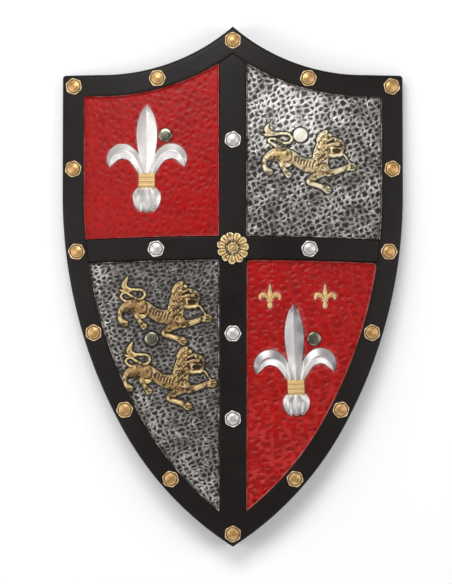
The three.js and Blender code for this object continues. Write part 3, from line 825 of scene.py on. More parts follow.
def lower_cover(x, y):
    edge = soft_step(depth_inside(x, y), BORDER_WIDTH + 26, BORDER_WIDTH + 2)
    middle = np.exp(-(((x + 60) / 40) ** 2) - ((y + 50) / 75) ** 2)
    return np.clip(0.13 + 0.1 * noise(x, y, 22, 77) + 0.26 * edge - 0.2 * middle, 0, 1)


RED_DENTS = {
    "size": 6.0, "stretch": 1.2, "angle": 75, "spread": 0.4, "depth": 0.36, "soft": 1.0, "corner": 1.5,
    "silver": False, "sheen": 0.06,
}
RED_DENTS_LOW = {
    "size": 6.0, "stretch": 1.6, "angle": 12, "spread": 0.4, "depth": 1.0, "soft": 0.9, "corner": 5.5,
    "silver": False, "sheen": 0.28,
}
SILVER_DENTS = {
    "size": 4.9, "stretch": 1.15, "angle": 24, "spread": 0.3, "depth": 0.6, "soft": 0.6, "corner": 1.5,
    "silver": True, "cover": upper_cover_and_highlight,
}
SILVER_DENTS_LOW = {
    "size": 4.0, "stretch": 1.4, "angle": 18, "spread": 0.34, "depth": 0.55, "soft": 0.6, "corner": 1.5,
    "silver": True, "cover": lower_cover,
}

# %% [markdown]
# The bolts, the rosette, the flowers and the lions are raised in one with the shield. Each is a fine
# height map over the face, kept only where the relief stands above it, and its lower edge dips into
# the ground so that no gap shows. The crease mask, for the wash and a painted shade, is the height
# against its own surroundings: what lies lower than its neighbourhood is where thin paint runs
# together and where shade falls.

# %% Relief pieces
def face_level(x, y):
    """Height of the ground or the cross under an ornament."""
    on_upright = np.abs(x) < UPRIGHT_HALF
    on_crossbar = np.abs(y - crossbar_line(x)) < CROSSBAR_HALF
    on_border = depth_inside(x, y) < LIP_INSET
    raised = np.where(on_upright | on_crossbar, CROSS_RISE, 0)
    return dome(x, y) + np.where(on_border, BORDER_RISE, raised)


def relief(
    low, high, spacing, height, place, turn=0.0, level=None, reach=3, depth=1.6,
    gilt=None, shade=None, wash_and_shade=None, foot=1.3,
):
    """A relief drawn in its own millimetres, then turned and put down round its place on the face."""
    columns, rows = (int((b - a) / spacing) for a, b in zip(low, high))
    u, v = grid(columns, rows)
    u, v = low[0] + u * (high[0] - low[0]), low[1] + v * (high[1] - low[1])
    tall = height(u, v)
    c, s = math.cos(math.radians(turn)), math.sin(math.radians(turn))
    x, y = place[0] + c * u - s * v, place[1] + s * u + c * v
    below = dome(x, y) + level if level is not None else face_level(x, y)
    # Crease: where the relief lies lower than its surroundings, for the wash and a painted shade.
    crease = np.clip((blurred(tall, reach) - tall) * depth, 0, 1)
    stands = tall > -SUNK * 0.85
    keep = stands.copy()
    keep[1:] |= stands[:-1]
    keep[:-1] |= stands[1:]
    keep[:, 1:] |= stands[:, :-1]
    keep[:, :-1] |= stands[:, 1:]
    # Darker at the foot of each relief, where it meets the ground: a painted shade, with the wash.
    near_ground = 0.9 * (1 - soft_step(tall, 0.2, foot))
    crease = np.maximum(crease, near_ground)
    masks = {"crease": np.maximum(crease, wash_and_shade(u, v)) if wash_and_shade else crease}
    edge = np.exp(-(((tall - foot) / 0.45) ** 2)) if wash_and_shade else 0
    # Crest: the relief's high points and its pale rim, for dry-brushed paint and a painted highlight, such
    # as the ring on a bolt's dome.
    masks["crest"] = np.clip((tall - blurred(tall, reach)) * depth + edge, 0, 1)
    masks["crease"] = masks["crease"] * (1 - 0.8 * np.clip(edge, 0, 1))
    if gilt:
        masks["gilt"] = gilt(u, v)
        tones = shade(u, v)
        masks["shade"] = np.clip(tones, 0, 1)
        # Negative tones become a painted highlight on the leaves' inner flanks.
        masks["crest"] = np.maximum(masks["crest"], -tones)
    return sheet(x, y, below + tall, masks, keep=keep)


# %% Bolts
def bolt_height(u, v):
    """A domed nut: a six-sided flange with a rounded edge, a ring groove and a dome with a lip."""
    half_flat, round_end, dome_radius = 7.3, 7.95, 5.55
    sixth = math.pi / 3
    angle = np.arctan2(v, u)
    away = np.hypot(u, v)
    flat = away * np.cos((angle + sixth / 2) % sixth - sixth / 2)
    side = np.minimum(half_flat - flat, round_end - away)
    flange = 1.5 * np.sqrt(np.clip(1 - (1 - np.clip(side / 1.0, 0, 1)) ** 2, 0, 1))
    flange = np.where(side > 0, flange, side * 2.5)
    groove_ring = 0.85 * np.exp(-(((away - 5.9) / 0.6) ** 2))
    dome_part = 1.2 + 2.15 * np.sqrt(np.clip(1 - (away / dome_radius) ** 2, 0, 1))
    foot_ring = 0.35 * np.exp(-(((away - 5.1) / 0.45) ** 2))
    whole = np.where(away < dome_radius, dome_part + foot_ring, flange - groove_ring)
    return np.maximum(whole, -SUNK)


def even_places(points, steps):
    """Places at even steps along a line of points, with both of its ends."""
    reach = np.concatenate([[0], np.cumsum(np.hypot(*np.diff(points, axis=0).T))])
    even = np.linspace(0, reach[-1], steps + 1)
    return np.stack([np.interp(even, reach, points[:, 0]), np.interp(even, reach, points[:, 1])], 1)


def border_bolt_places():
    right = half_outline(BOLT_INSET)
    corner = int(np.argmax(right[:, 0] + right[:, 1]))
    top = even_places(right[: corner + 1], SHOULDER_BOLT_STEPS)
    side = even_places(right[corner:], SIDE_BOLT_STEPS)
    half = np.concatenate([top, side[1:]])
    return np.concatenate([half, half[1:-1] * (-1, 1)])


def bolts(places, level, material, name, first):
    parts = []
    for i, place in enumerate(places):
        turn = 37 * (i + first) % 60
        parts.append(relief((-9, -9), (9, 9), 0.36, bolt_height, place, turn, level, 4, 0.95))
    finish_piece(name, joined(parts), material)


upright_bolts = (UPRIGHT_BOLT_ABOVE, -UPRIGHT_BOLT_PITCH, -2 * UPRIGHT_BOLT_PITCH)
cross_bolts = [(0, CROSS_Y + above) for above in upright_bolts]
cross_bolts += [(side * CROSSBAR_BOLT_X, crossbar_line(CROSSBAR_BOLT_X)) for side in (-1, 1)]
bolts(border_bolt_places(), BORDER_RISE, GOLD, "border_bolts", 0)
bolts(cross_bolts, CROSS_RISE, SILVER, "cross_bolts", 3)


# %% Rosette
ROSETTE_PETALS = 11


def rosette_height(u, v):
    """Eleven petals, each with a channel down its middle, round a ring and a button."""
    away = np.hypot(u, v)
    angle = np.arctan2(v, u)
    step = 2 * math.pi / ROSETTE_PETALS
    button_radius, petals_start = 3.1, 4.9
    off = (angle + step / 2) % step - step / 2
    across = np.abs(off) / (step / 2)
    end = 14.7 - 2.2 * across**2.2 + 0.6 * noise(angle * 3, angle * 0, 1, 70)
    lobe = 2.6 * np.clip(1 - ((away - 10.3) / 5.4) ** 2, 0, 1) ** 0.5
    channel = 0.9 * np.exp(-((across / 0.24) ** 2)) * soft_step(away, 6.5, 9)
    seam = 2.0 * np.exp(-(((1 - across) * away * 0.28 / 0.5) ** 2))
    petal = lobe - seam - channel + 0.6 + 0.3 * noise(u, v, 2.1, 71)
    petal = np.where(away > end, (end - away) * 3, petal)
    ring = 2.5 - 1.4 * ((away - 3.9) / 0.8) ** 2
    button = 1.2 + 2.6 * np.sqrt(np.clip(1 - (away / button_radius) ** 2, 0, 1))
    middle = np.where(away < button_radius, button, np.maximum(ring, 0.7))
    return np.maximum(np.where(away < petals_start, np.maximum(middle, 0.6), petal), -SUNK)


def rosette_wash_and_shade(u, v):
    """Painted shade in a ring round the button, and wash in blotches over the petals."""
    ring = 0.8 * np.exp(-(((np.hypot(u, v) - 6.2) / 1.3) ** 2))
    blotches = soft_step(noise(u, v, 3.1, 72) + 0.5 * noise(u, v, 1.3, 73), 0.1, 0.9)
    return np.clip(ring + 0.5 * blotches, 0, 1)


rosette = relief(
    (-16, -16), (16, 16), 0.22, rosette_height, (0, CROSS_Y), 4, CROSS_RISE, 5, 1.5,
    wash_and_shade=rosette_wash_and_shade, foot=1.5,
)
finish_piece("rosette", rosette, PALE_GOLD)


# %% [markdown]
# A fleur-de-lis is a middle petal with a sharp keel, two leaves that curl outwards, a band that ties
# them and three lobes below it. Flat flanks that meet in a keel catch the light on one side only,
# which is how the real one shows its two tones; the tones are also painted on, as a painted shade on
# some flanks and a painted highlight on the leaves' inner flanks.

# %% Fleurs-de-lis
PETAL = [(70.3, 0.6), (64.8, 7.4), (60, 12.3), (53.7, 16.6), (44.2, 19.1), (35.3, 18.2), (28, 15.8)]
PETAL += [(22, 14), (13.2, 9.6), (4, 5.9)]
LEAF = [(5.0, 5, 5), (5.9, 9.5, 6.6), (9.2, 17.2, 9.2), (13.6, 23.4, 11.4), (19.5, 27, 13.6)]
LEAF += [(25.2, 27.2, 13.6), (30, 24.3, 11.8), (33, 19.3, 8), (34.7, 13, 0.6)]
SIDE_LOBE = [(3.6, -7, 8), (7.4, -13.5, 10.6), (7.2, -20, 9.6), (5.6, -25.6, 6)]
MIDDLE_LOBE = [(0, -6, 8), (0, -13, 9), (0, -20, 11), (0, -26.4, 6)]
FLEUR_RISE = 5.2


def fleur_height(share, petal_tall=1.0, petal_wide=1.0, bulb_wide=1.0, bulb_tall=1.0):
    """A fleur-de-lis, drawn at share times the measured one's size."""

    def height(u, v):
        u, v = u / share, v / share
        rise = lambda wide: FLEUR_RISE * min(1, wide / 9 + 0.25)
        steps = [(0, y * petal_tall, wide * petal_wide, rise(wide)) for y, wide in PETAL]
        petal = ridge(u, v, steps, True, 0.3)
        leaf = [(x, y, wide, 0.82 * rise(wide)) for x, y, wide in LEAF]
        leaves = ridge(np.abs(u), v, leaf, True, 0.3)
        lobe = [(x, y, wide, FLEUR_RISE * 0.75) for x, y, wide in SIDE_LOBE]
        lobes = ridge(np.abs(u) / bulb_wide, v / bulb_tall, lobe, True, 0.35)
        lobe = [(x, y, wide, FLEUR_RISE * 0.85) for x, y, wide in MIDDLE_LOBE]
        middle = ridge(u / bulb_wide, v / bulb_tall, lobe, True, 0.35)
        inside = (np.abs(u) < 7.4) & (np.abs(v) < 6.6)
        ribs = FLEUR_RISE * (0.86 + 0.12 * np.cos(v / 4.1 * 2 * math.pi))
        return np.maximum.reduce([petal, leaves, lobes, middle, np.where(inside, ribs, -SUNK)])

    return height


def flank_shade(petal_left, petal_right, leaf, bright):
    """Tones of the flanks, painted shade above 0 and painted highlight below: the petal's two, the leaves'
    and the bulb's.
    """

    def shade(u, v):
        from_curl = np.hypot(np.abs(u) - 21.5, v - 13.5)
        outer = soft_step(from_curl, 13.0, 13.9) * soft_step(np.abs(u), 7.5, 9) * (v > 2)
        heights, widths = zip(*reversed(PETAL))
        half_petal = np.interp(v, heights, widths) / 2
        on_petal = (np.abs(u) < half_petal + 0.6 + 2.4 * soft_step(v, 22, 34)) & (v > 4)
        side = petal_left + (petal_right - petal_left) * soft_step(u, -0.3, 0.3)
        inner = soft_step(from_curl, 13.0, 12.1) * soft_step(np.abs(u), 5, 9) * (v > 2)
        fade = np.where(on_petal, side * (0.35 + 0.65 * soft_step(v, 8, 40)), leaf * outer - bright * inner)
        bulb = 0.5 * soft_step(noise(u, v / 3, 2.6, 64), -0.5, 0.4) * (v < -8)
        return np.clip(fade * (0.85 + 0.2 * noise(u, v, 9, 63)) + bulb, -1, 1)

    return shade


def band_mask(u, v):
    """The gold of the tie, with a slightly shaky brush edge."""
    edge = 7.0 + 0.4 * noise(u, v, 2.5, 61)
    return soft_step(edge - np.abs(v), -0.3, 0.3) * (np.abs(u) < 9)


def small_fleur_height(u, v):
    """The same flower drawn small: its stations are shares of its height."""
    tall, rise = 22.3, 1.8
    petal = [(0, -0.15, 0.12, 1), (0, 0.05, 0.2, 1), (0, 0.28, 0.13, 0.9), (0, 0.5, 0.03, 0.6)]
    leaf = [(0.02, -0.16, 0.1, 1), (0.13, -0.01, 0.15, 1), (0.26, 0.07, 0.19, 1), (0.37, 0.03, 0.17, 0.9)]
    leaf += [(0.4, -0.09, 0.1, 0.7)]
    band = [(-0.08, -0.17, 0.1, 1), (0.08, -0.17, 0.1, 1)]
    foot = [(0, -0.22, 0.14, 0.9), (0, -0.31, 0.17, 1), (0, -0.4, 0.2, 0.9)]
    lines = ((u, petal), (np.abs(u), leaf), (u, band), (u, foot))
    real = (tall, tall, tall, rise)
    return np.maximum.reduce([ridge(across, v, np.array(line) * real, True, 0.3) for across, line in lines])


UPPER_FLEUR = (-QUARTER_MIDDLE - 4.8, CROSS_Y + 61.9)
LOWER_FLEUR = (QUARTER_MIDDLE - 16.3, CROSS_Y - 128.3)
SMALL_FLEURS = [(QUARTER_MIDDLE - 14.9 + side * 25.5, CROSS_Y - 44.6) for side in (-1, 1)]
UPPER_FLEUR_FORM = fleur_height(1)
LOWER_FLEUR_FORM = fleur_height(1.03, 1.06, 0.91, 0.92, 0.88)
upper_shade = flank_shade(0.5, -0.5, 0.36, 0.6)
fleur = relief((-42, -34), (42, 73), 0.34, UPPER_FLEUR_FORM, UPPER_FLEUR, gilt=band_mask, shade=upper_shade)
finish_piece("fleur_upper_left", fleur, SILVER_AND_GOLD)
lower_shade = flank_shade(0.74, 1.1, 0.8, 1.0)
fleur = relief(
    (-43, -36), (43, 80), 0.35, LOWER_FLEUR_FORM, LOWER_FLEUR, 2, gilt=band_mask, shade=lower_shade
)
finish_piece("fleur_lower_right", fleur, SILVER_AND_GOLD)
for name, place in zip(("small_fleur_left", "small_fleur_right"), SMALL_FLEURS):
    small = relief((-12, -13), (12, 13), 0.25, small_fleur_height, place, reach=3, depth=2.0, foot=0.5)
    finish_piece(name, small, PALE_GOLD)

# %% [markdown]
# The lion is the one free figure. Its body is a chain of overlapping ridges, blended where muscle
# runs into muscle, and its ribs, locks, brow and toes are grooves cut afterwards. One drawing, in
# shares of the lion's length, serves three times, but the two lower lions have a looped tail.

# %% Lions
LION_LENGTH = 87
LION_RISE = 4.6
BODY = [(-0.366, 0.042, 0.135), (-0.281, 0.042, 0.15), (-0.207, 0.027, 0.13), (-0.133, -0.021, 0.12)]
BODY += [(-0.048, -0.064, 0.135), (0.048, -0.074, 0.155), (0.133, -0.106, 0.14)]
MANE = [(0.111, -0.042, 0.17), (0.122, 0.053, 0.165), (0.138, 0.148, 0.13), (0.164, 0.223, 0.1)]
EAR = [(0.115, 0.2, 0.09), (0.145, 0.25, 0.085), (0.178, 0.29, 0.035)]
TOPKNOT = [(0.165, 0.21, 0.08), (0.215, 0.25, 0.045)]
HEAD = [(0.165, 0.148, 0.13), (0.25, 0.18, 0.1), (0.323, 0.168, 0.075), (0.352, 0.127, 0.048)]
HEAD += [(0.352, 0.085, 0.025)]
CHEEK_FORM = [(0.17, 0.1, 0.13), (0.222, 0.1, 0.11), (0.235, 0.1, 0.08)]
MOUTH_FLOOR = [(0.24, 0.09, 0.08), (0.335, 0.085, 0.07)]
JAW = [(0.17, 0.053, 0.09), (0.249, 0.037, 0.05), (0.323, 0.042, 0.042), (0.347, 0.06, 0.02)]
TONGUE = [(0.335, 0.05, 0.02), (0.37, 0.04, 0.018), (0.4, 0.0, 0.018), (0.432, -0.05, 0.02)]
FORELEG = [(0.2, -0.148, 0.08), (0.281, -0.133, 0.062), (0.355, -0.106, 0.055), (0.419, -0.09, 0.07)]
FORELEG += [(0.458, -0.085, 0.085)]
NEAR_FORELEG = [(0.154, -0.117, 0.13), (0.08, -0.17, 0.088), (0.015, -0.217, 0.07), (-0.002, -0.25, 0.06)]
NEAR_FORELEG += [(0.06, -0.275, 0.052), (0.14, -0.302, 0.06), (0.192, -0.328, 0.085)]
SHOULDER_FORM = [(0.105, -0.125, 0.1), (0.15, -0.125, 0.12)]
HIND_LEG = [(-0.376, 0.042, 0.13), (-0.44, 0.02, 0.08), (-0.476, -0.021, 0.052), (-0.48, -0.074, 0.046)]
HIND_LEG += [(-0.46, -0.117, 0.06), (-0.424, -0.143, 0.072)]
FAR_HIND_LEG = [(-0.302, -0.01, 0.08), (-0.292, -0.074, 0.05), (-0.26, -0.127, 0.046)]
FAR_HIND_LEG += [(-0.223, -0.172, 0.07)]
BELLY_TUFT = [(-0.27, -0.06, 0.03), (-0.239, -0.064, 0.055), (-0.207, -0.06, 0.03)]
TAIL = [(-0.33, 0.12, 0.05), (-0.37, 0.145, 0.034), (-0.41, 0.168, 0.028), (-0.435, 0.196, 0.026)]
TAIL += [(-0.4, 0.214, 0.026), (-0.334, 0.196, 0.026), (-0.265, 0.166, 0.028), (-0.21, 0.175, 0.03)]
TAIL += [(-0.188, 0.217, 0.03), (-0.223, 0.262, 0.03), (-0.302, 0.268, 0.03), (-0.376, 0.265, 0.045)]
TAIL += [(-0.44, 0.29, 0.06), (-0.456, 0.325, 0.045), (-0.435, 0.366, 0.012)]
LOOPED_TAIL = [(-0.3, 0.08, 0.06), (-0.37, 0.085, 0.034), (-0.428, 0.1, 0.028), (-0.468, 0.148, 0.026)]
LOOPED_TAIL += [(-0.419, 0.186, 0.026), (-0.343, 0.142, 0.028), (-0.267, 0.113, 0.028)]
LOOPED_TAIL += [(-0.212, 0.157, 0.028), (-0.235, 0.205, 0.028), (-0.305, 0.218, 0.03)]
LOOPED_TAIL += [(-0.37, 0.215, 0.045), (-0.43, 0.25, 0.06), (-0.42, 0.3, 0.045), (-0.395, 0.35, 0.012)]
TUFT = [(-0.39, 0.262, 0.045), (-0.45, 0.252, 0.035), (-0.485, 0.258, 0.012)]
LOOPED_TUFT = [(-0.38, 0.21, 0.045), (-0.44, 0.2, 0.035), (-0.478, 0.215, 0.012)]
FIRST_RIB = [(-0.133, 0.028, 0.029), (-0.146, 0, 0.0295), (-0.157, -0.03, 0.031)]
RIBS = [[(x + step * i, y - 0.012 * i) for x, y, step in FIRST_RIB] for i in range(7)]
MOUTH_MIDDLE = (0.288, 0.088)
THIGH = [(-0.207, 0.095), (-0.186, 0.042), (-0.2, -0.015), (-0.235, -0.035)]
SHOULDER = [(0.09, -0.075), (0.15, -0.045), (0.215, -0.085), (0.225, -0.13), (0.19, -0.165)]
CHIN = [(0.13, 0.02), (0.17, 0.0), (0.2, 0.02), (0.24, 0.008)]
CHEEK = [(0.2, 0.12), (0.215, 0.085), (0.2, 0.05)]
BROW = [(0.19, 0.165), (0.22, 0.178), (0.255, 0.186)]
NOSTRIL = [(0.33, 0.15), (0.345, 0.14)]
TOES = [[(0.44, -0.1), (0.495, -0.112)], [(0.445, -0.085), (0.5, -0.085)], [(0.44, -0.068), (0.49, -0.055)]]
TOES += [[(0.18, -0.32), (0.23, -0.325)], [(0.175, -0.34), (0.225, -0.355)]]
TOES += [[(-0.43, -0.14), (-0.385, -0.15)], [(-0.44, -0.158), (-0.4, -0.175)]]
TOES += [[(-0.225, -0.17), (-0.185, -0.18)], [(-0.235, -0.185), (-0.2, -0.205)]]


def open_mouth(a, b):
    away = np.hypot((a - MOUTH_MIDDLE[0]) / 0.05, (b - MOUTH_MIDDLE[1]) / 0.03)
    return 1 - soft_step(away, 0.75, 1.1)


def lion_line(lines, a, b, width):
    return np.clip(sum(groove(a, b, line, width) for line in lines), 0, 1)


def lion_height(u, v, tail=(TAIL, TUFT)):
    a, b = u / LION_LENGTH, v / LION_LENGTH

    def limb(stations, rise):
        line = np.array([(*station, 0) for station in stations]) * LION_LENGTH
        line[:, 3] = rise * LION_RISE
        return ridge(u, v, line)

    tall = limb(FAR_HIND_LEG, 0.55)
    behind = ((BELLY_TUFT, 0.4), (FORELEG, 0.7), (tail[0], 0.5), (tail[1], 0.45), (MOUTH_FLOOR, 0.22))
    for stations, rise in behind:
        tall = np.maximum(tall, limb(stations, rise))
    mane = np.maximum.reduce([limb(MANE, 0.95), limb(EAR, 0.8), limb(TOPKNOT, 0.7)])
    for form, blend in (
        (limb(BODY, 0.86), 0.4),
        (limb(HIND_LEG, 0.84), 0.25),
        (mane, 0.3),
        (limb(CHEEK_FORM, 0.9), 0.2),
        (limb(HEAD, 1.0), 0.2),
        (limb(JAW, 0.75), 0.1),
        (limb(TONGUE, 0.4), 0.05),
        (limb(NEAR_FORELEG, 0.88), 0.2),
        (limb(SHOULDER_FORM, 1.08), 0.1),
    ):
        tall = soft_max(tall, form, blend)
    curls = np.abs(noise(u - 0.6 * v, v, 2.9, 6) + 0.4 * noise(u, v, 1.4, 7))
    shag = (1 - soft_step(curls, 0.0, 0.3)) * soft_step(mane, 1.4, 2.6) * (a < 0.21)
    cuts = 0.17 * lion_line(RIBS, a, b, 0.012) + 0.3 * shag
    cuts = cuts + 0.12 * lion_line([THIGH, SHOULDER, CHIN, CHEEK], a, b, 0.02)
    cuts = cuts + 0.26 * lion_line(TOES, a, b, 0.008) + 0.4 * lion_line([BROW, NOSTRIL], a, b, 0.017)
    tall = np.where(tall > 0.2, tall + 0.28 * noise(u, v, 4.5, 8) + 0.14 * noise(u, v, 1.9, 9), tall)
    tall = tall * (1 - 0.9 * open_mouth(a, b) * (tall > 0))
    return np.maximum(tall - np.where(tall > 0.1, cuts, 0) * LION_RISE, -SUNK)


def looped_lion_height(u, v):
    return lion_height(u, v, (LOOPED_TAIL, LOOPED_TUFT))


def lion_wash_and_shade(u, v):
    """Where the brown wash has run together, with a painted shade in the open mouth, brow, ribs and toes;
    and blotches of wash on the flanks.
    """
    a, b = u / LION_LENGTH, v / LION_LENGTH
    deep = 1.3 * open_mouth(a, b) + lion_line([BROW, NOSTRIL], a, b, 0.018)
    blotch = 0.66 * soft_step(noise(u, v, 4.2, 15) + 0.6 * noise(u, v, 1.7, 16), 0.0, 0.8)
    lines = 0.75 * lion_line(RIBS + TOES + [THIGH, SHOULDER, CHIN, CHEEK], a, b, 0.013)
    return np.clip(deep + np.maximum(blotch, lines), 0, 1)


LIONS = {
    "lion_upper_right": ((QUARTER_MIDDLE - 3.7, CROSS_Y + 82.1), OLD_GOLD, lion_height),
    "lion_lower_left": ((-QUARTER_MIDDLE + 11.9, CROSS_Y - 57.3), DARK_GOLD, looped_lion_height),
    "lion_lowest": ((-QUARTER_MIDDLE + 16.4, CROSS_Y - 117.2), DARK_GOLD, looped_lion_height),
}
for name, (place, paint, form) in LIONS.items():
    lion = relief((-45, -33), (45, 35), 0.33, form, place, 0, 0, 8, 0.9, wash_and_shade=lion_wash_and_shade, foot=1.1)
    finish_piece(name, lion, paint)

# %% Put the hammered grounds down
HAND_Y, ARM_Y = CROSS_Y + HAND_RIVET_ABOVE, CROSS_Y - ARM_RIVET_BELOW
RIVETS = {
    "rivet_upper_left": (-HAND_RIVET_X, HAND_Y),
    "rivet_upper_right": (HAND_RIVET_X, HAND_Y),
    "rivet_lower_left": (-ARM_RIVET_X, ARM_Y),
    "rivet_lower_right": (ARM_RIVET_X, ARM_Y),
}


def rivet_shadow_patch(u, v):
    """A round patch under a rivet's cap that reaches a little past it, where the ground stays dark as a
    painted shadow round the cap.
    """
    return np.where(np.hypot(u, v) < 7.2, 1.0, -SUNK)


UPPER_LION, LEFT_LION, LOWEST_LION = (place for place, _, _ in LIONS.values())
GROUNDS = {
    "ground_upper_left": (-1, True, RED_DENTS, 200, 240, 11, [(UPPER_FLEUR_FORM, UPPER_FLEUR)]),
    "ground_upper_right": (
        1, True, SILVER_DENTS, 245, 290, 12,
        [(lion_height, UPPER_LION), (rivet_shadow_patch, RIVETS["rivet_upper_right"])],
    ),
    "ground_lower_left": (
        -1, False, SILVER_DENTS_LOW, 190, 370, 13,
        [(looped_lion_height, LEFT_LION), (looped_lion_height, LOWEST_LION)]
        + [(rivet_shadow_patch, RIVETS["rivet_lower_left"])],
    ),
    "ground_lower_right": (
        1, False, RED_DENTS_LOW, 180, 315, 14,
        [(LOWER_FLEUR_FORM, LOWER_FLEUR)] + [(small_fleur_height, place) for place in SMALL_FLEURS],
    ),
}
for name, settings in GROUNDS.items():
    finish_piece(name, ground(*settings), SILVERED if settings[2]["silver"] else RED)

# %% [markdown]
# The back is hollow. The plate keeps one wall thickness everywhere, so channels run behind the
# border and the cross. It is never painted by hand, so it stays plain satin black.

# %% Inside of the plate
def inside_strip(across, x, y, half):
    """The channel behind a bar: two steep sides and a flat floor, as the bar's own back."""
    return dome(x, y) - WALL + CROSS_RISE * soft_step(half - np.abs(across), 0.0, WALL)


def inside_parts():
    parts = []
    for side in (-1, 1):
        for upper in (True, False):
            x, y = quarter_places(side, upper, 30, 40)
            parts.append(sheet(x, y, dome(x, y) - WALL))
    share, along = grid(16, 100)
    top, bottom = half_outline(BORDER_WIDTH)[0][1] + 2, half_outline(BORDER_WIDTH)[-1][1] - 2
    x, y = (2 * share - 1) * UPRIGHT_HALF, bottom + (top - bottom) * along
    parts.append(sheet(x, y, inside_strip(x, x, y, UPRIGHT_HALF)))
    for side in (-1, 1):
        along, share = grid(40, 16)
        x = side * (UPRIGHT_HALF + (HALF_WIDTH - BORDER_WIDTH + 2 - UPRIGHT_HALF) * along)
        off = (2 * share - 1) * CROSSBAR_HALF
        y = crossbar_line(x) + off
        parts.append(sheet(x, y, inside_strip(off, x, y, CROSSBAR_HALF)))
    whole = joined(parts)
    bmesh.ops.reverse_faces(whole, faces=whole.faces)
    return whole


finish_piece("inside_of_plate", inside_parts(), BLACK)

# %% [markdown]
# The rivets are real metal. One half section, spun round an axis, gives cap, shank and back at once,
# and each rivet then tilts to stand square on the dome. Three are plain polished metal that mirrors
# the room. The one at the upper right looks much paler, as it catches a lamp, so it gets a pale metal
# whose colour is a painted reflection.

# %% Rivets
CAP_RADIUS = 6.7
SHANK_RADIUS = 2.5
FIT_GAP = 0.3
STRAP_THICKNESS = 2


def polished_metal():
    paint = Paint("polished_metal", 0.12, 1.0)
    tone = paint.tone(srgb(140, 134, 118), srgb(100, 95, 82), 160, 0.5)
    smudge = paint.number(paint.cloud(260, 0.35, 0.7), 0.16, 0.34)
    paint.link(smudge, paint.shader.inputs["Roughness"])
    paint.grain(1500, 0.00001)
    return paint.color(tone).material


METAL = polished_metal()
# A pale copy of the rivet metal, whose colour is a painted reflection.
REFLECTION_PAINTED_METAL = wash_and_shade_paint(
    "rivet_painted_reflection", srgb(246, 240, 226), srgb(220, 212, 196), srgb(70, 66, 60), 0.4, 0.34
)


def rivet(place):
    back_top = -WALL - 3 * FIT_GAP - STRAP_THICKNESS
    section = [(0, FIT_GAP + 2.2), (3.2, FIT_GAP + 2.18), (5.3, FIT_GAP + 2.02), (5.95, FIT_GAP + 1.8)]
    section += [(6.4, FIT_GAP + 1.45), (CAP_RADIUS - 0.04, FIT_GAP + 0.9), (CAP_RADIUS, FIT_GAP + 0.4)]
    section += [(CAP_RADIUS - 0.15, FIT_GAP), (SHANK_RADIUS, FIT_GAP), (SHANK_RADIUS, back_top)]
    section += [(5.4, back_top), (5.5, back_top - 0.3), (5.0, back_top - 1.5), (4.4, back_top - 1.8)]
    section += [(0, back_top - 1.8)]
    bm = bmesh.new()
    points = [bm.verts.new((radius * MM, 0, height * MM)) for radius, height in section]
    edges = [bm.edges.new(pair) for pair in zip(points, points[1:])]
    around = {"axis": (0, 0, 1), "cent": (0, 0, 0), "angle": 2 * math.pi, "steps": 64}
    bmesh.ops.spin(bm, geom=points + edges, use_merge=True, **around)
    bmesh.ops.remove_doubles(bm, verts=bm.verts, dist=MM * 0.001)
    bmesh.ops.recalc_face_normals(bm, faces=bm.faces)
    x, y = place
    slope = Vector((2 * FALL_ACROSS * x / HALF_WIDTH**2, 2 * FALL_ALONG * y / HALF_HEIGHT**2, 1))
    turn = Vector((0, 0, 1)).rotation_difference(slope).to_matrix().to_4x4()
    spot = Matrix.Translation(Vector((x, y, float(dome(x, y)))) * MM)
    bmesh.ops.transform(bm, matrix=spot @ turn, verts=bm.verts)
    return bm


for name, place in RIVETS.items():
    painted_reflection = name == "rivet_upper_right"
    finish_piece(f"{name}_metal", rivet(place), REFLECTION_PAINTED_METAL if painted_reflection else METAL, name)

# %% [markdown]
# Webbing is a flat weave. The band is one sheet thickened by solidify, and its weave is small paired
# ribs in the bump, running in rows along the band.

# %% Straps
def webbing_material():
    paint = Paint("webbing", 0.85)
    place = paint.nodes.new("ShaderNodeTexCoord")
    across = paint.nodes.new("ShaderNodeTexWave")
    across.bands_direction = "X"
    across.inputs["Scale"].default_value = 210
    across.inputs["Distortion"].default_value = 0.6
    rows = paint.nodes.new("ShaderNodeTexWave")
    rows.bands_direction = "Y"
    rows.inputs["Scale"].default_value = 150
    rows.inputs["Distortion"].default_value = 0.4
    for node in (across, rows):
        paint.link(place.outputs["Object"], node.inputs["Vector"])
    weave = paint.math("MULTIPLY", across.outputs["Fac"], rows.outputs["Fac"])
    bump = paint.nodes.new("ShaderNodeBump")
    bump.inputs["Distance"].default_value = 0.0004
    paint.link(weave, bump.inputs["Height"])
    paint.link(bump.outputs["Normal"], paint.shader.inputs["Normal"])
    thread = paint.tone(srgb(30, 28, 29), srgb(52, 49, 49), 240, 0.6)
    return paint.color(paint.mix(weave, srgb(14, 13, 14), thread)).material


WEBBING = webbing_material()
STRAP_WIDTH = 28
STRAP_TAIL = 14
STRAP_HELD = 25
STRAP_BOW = 19


def strap(spacing, middle_y):
    length = spacing + 2 * STRAP_TAIL
    along, across = grid(96, 8)
    x, y = (along - 0.5) * length, middle_y + (across - 0.5) * STRAP_WIDTH
    free = np.clip((length / 2 - np.abs(x) - STRAP_HELD) / (length / 2 - STRAP_HELD), 0, 1)
    bow = STRAP_BOW * (0.5 - 0.5 * np.cos(math.pi * free))
    bm = sheet(x, y, dome(x, y) - WALL - 2 * FIT_GAP - bow)
    bmesh.ops.solidify(bm, geom=bm.faces[:], thickness=STRAP_THICKNESS * MM)
    bmesh.ops.recalc_face_normals(bm, faces=bm.faces)
    return bm


for name, rivet_x, middle_y in (("hand_strap", HAND_RIVET_X, HAND_Y), ("arm_strap", ARM_RIVET_X, ARM_Y)):
    finish_piece(f"{name}_webbing", strap(2 * rivet_x, middle_y), WEBBING, name)

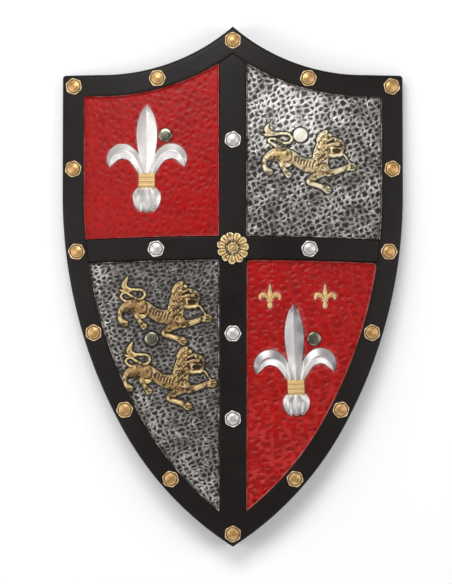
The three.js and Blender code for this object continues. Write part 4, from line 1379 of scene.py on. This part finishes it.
# %% [markdown]
# The picture is taken from straight above, far enough away that the outline keeps its true shape. A
# broad soft lamp over the upper half makes the crests shine and leaves the far slopes darker. Three
# weaker lamps and a pale room fill the rest.

# %% Camera, floor and light
PHOTO_SIZE = (452, 584)
MM_PER_PIXEL = 0.9227
SHIELD_CENTRE_PIXEL = (232.8, 286.6)
CAMERA_DISTANCE = 2.0
MIDDLE_OF_FACE = 0.026  # height of the face's mean level over the floor
camera_data = bpy.data.cameras.new("camera")
camera = add_object("camera", camera_data)
bpy.context.scene.camera = camera
camera.location = (
    (PHOTO_SIZE[0] / 2 - SHIELD_CENTRE_PIXEL[0]) * MM_PER_PIXEL * MM,
    (SHIELD_CENTRE_PIXEL[1] - PHOTO_SIZE[1] / 2) * MM_PER_PIXEL * MM,
    CAMERA_DISTANCE + MIDDLE_OF_FACE,
)
camera_data.lens = camera_data.sensor_width * CAMERA_DISTANCE / (PHOTO_SIZE[1] * MM_PER_PIXEL * MM)

bm = bmesh.new()
bmesh.ops.create_grid(bm, x_segments=1, y_segments=1, size=3)
floor = add_object("floor", as_mesh("floor", bm))
floor.location.z = -0.0005
white = Paint("floor", 0.9)
white.shader.inputs["Base Color"].default_value = (0.96, 0.96, 0.96, 1)
floor.data.materials.append(white.material)


def area_light(name, place, aim, size, watts):
    data = bpy.data.lights.new(name, "AREA")
    data.shape = "RECTANGLE"
    data.size, data.size_y = size
    data.energy = watts
    lamp = add_object(name, data)
    lamp.location = place
    lamp.rotation_euler = (Vector(place) - Vector(aim)).to_track_quat("Z", "Y").to_euler()


area_light("key", (-0.25, 0.95, 1.4), (0, 0.05, 0), (1.0, 0.7), 17)
area_light("fill_left", (-1.3, -0.1, 1.0), (0, 0, 0), (0.9, 1.5), 9)
area_light("fill_right", (1.3, 0.1, 1.1), (0, 0, 0), (0.9, 1.5), 8)
area_light("fill_low", (0.1, -1.3, 1.1), (0, 0, 0), (1.4, 0.8), 5)
bpy.context.scene.view_settings.view_transform = "Standard"
world = bpy.context.scene.world or bpy.data.worlds.new("room")
bpy.context.scene.world = world
world.use_nodes = True
world.node_tree.nodes["Background"].inputs["Color"].default_value = (1, 1, 1, 1)
world.node_tree.nodes["Background"].inputs["Strength"].default_value = 0.26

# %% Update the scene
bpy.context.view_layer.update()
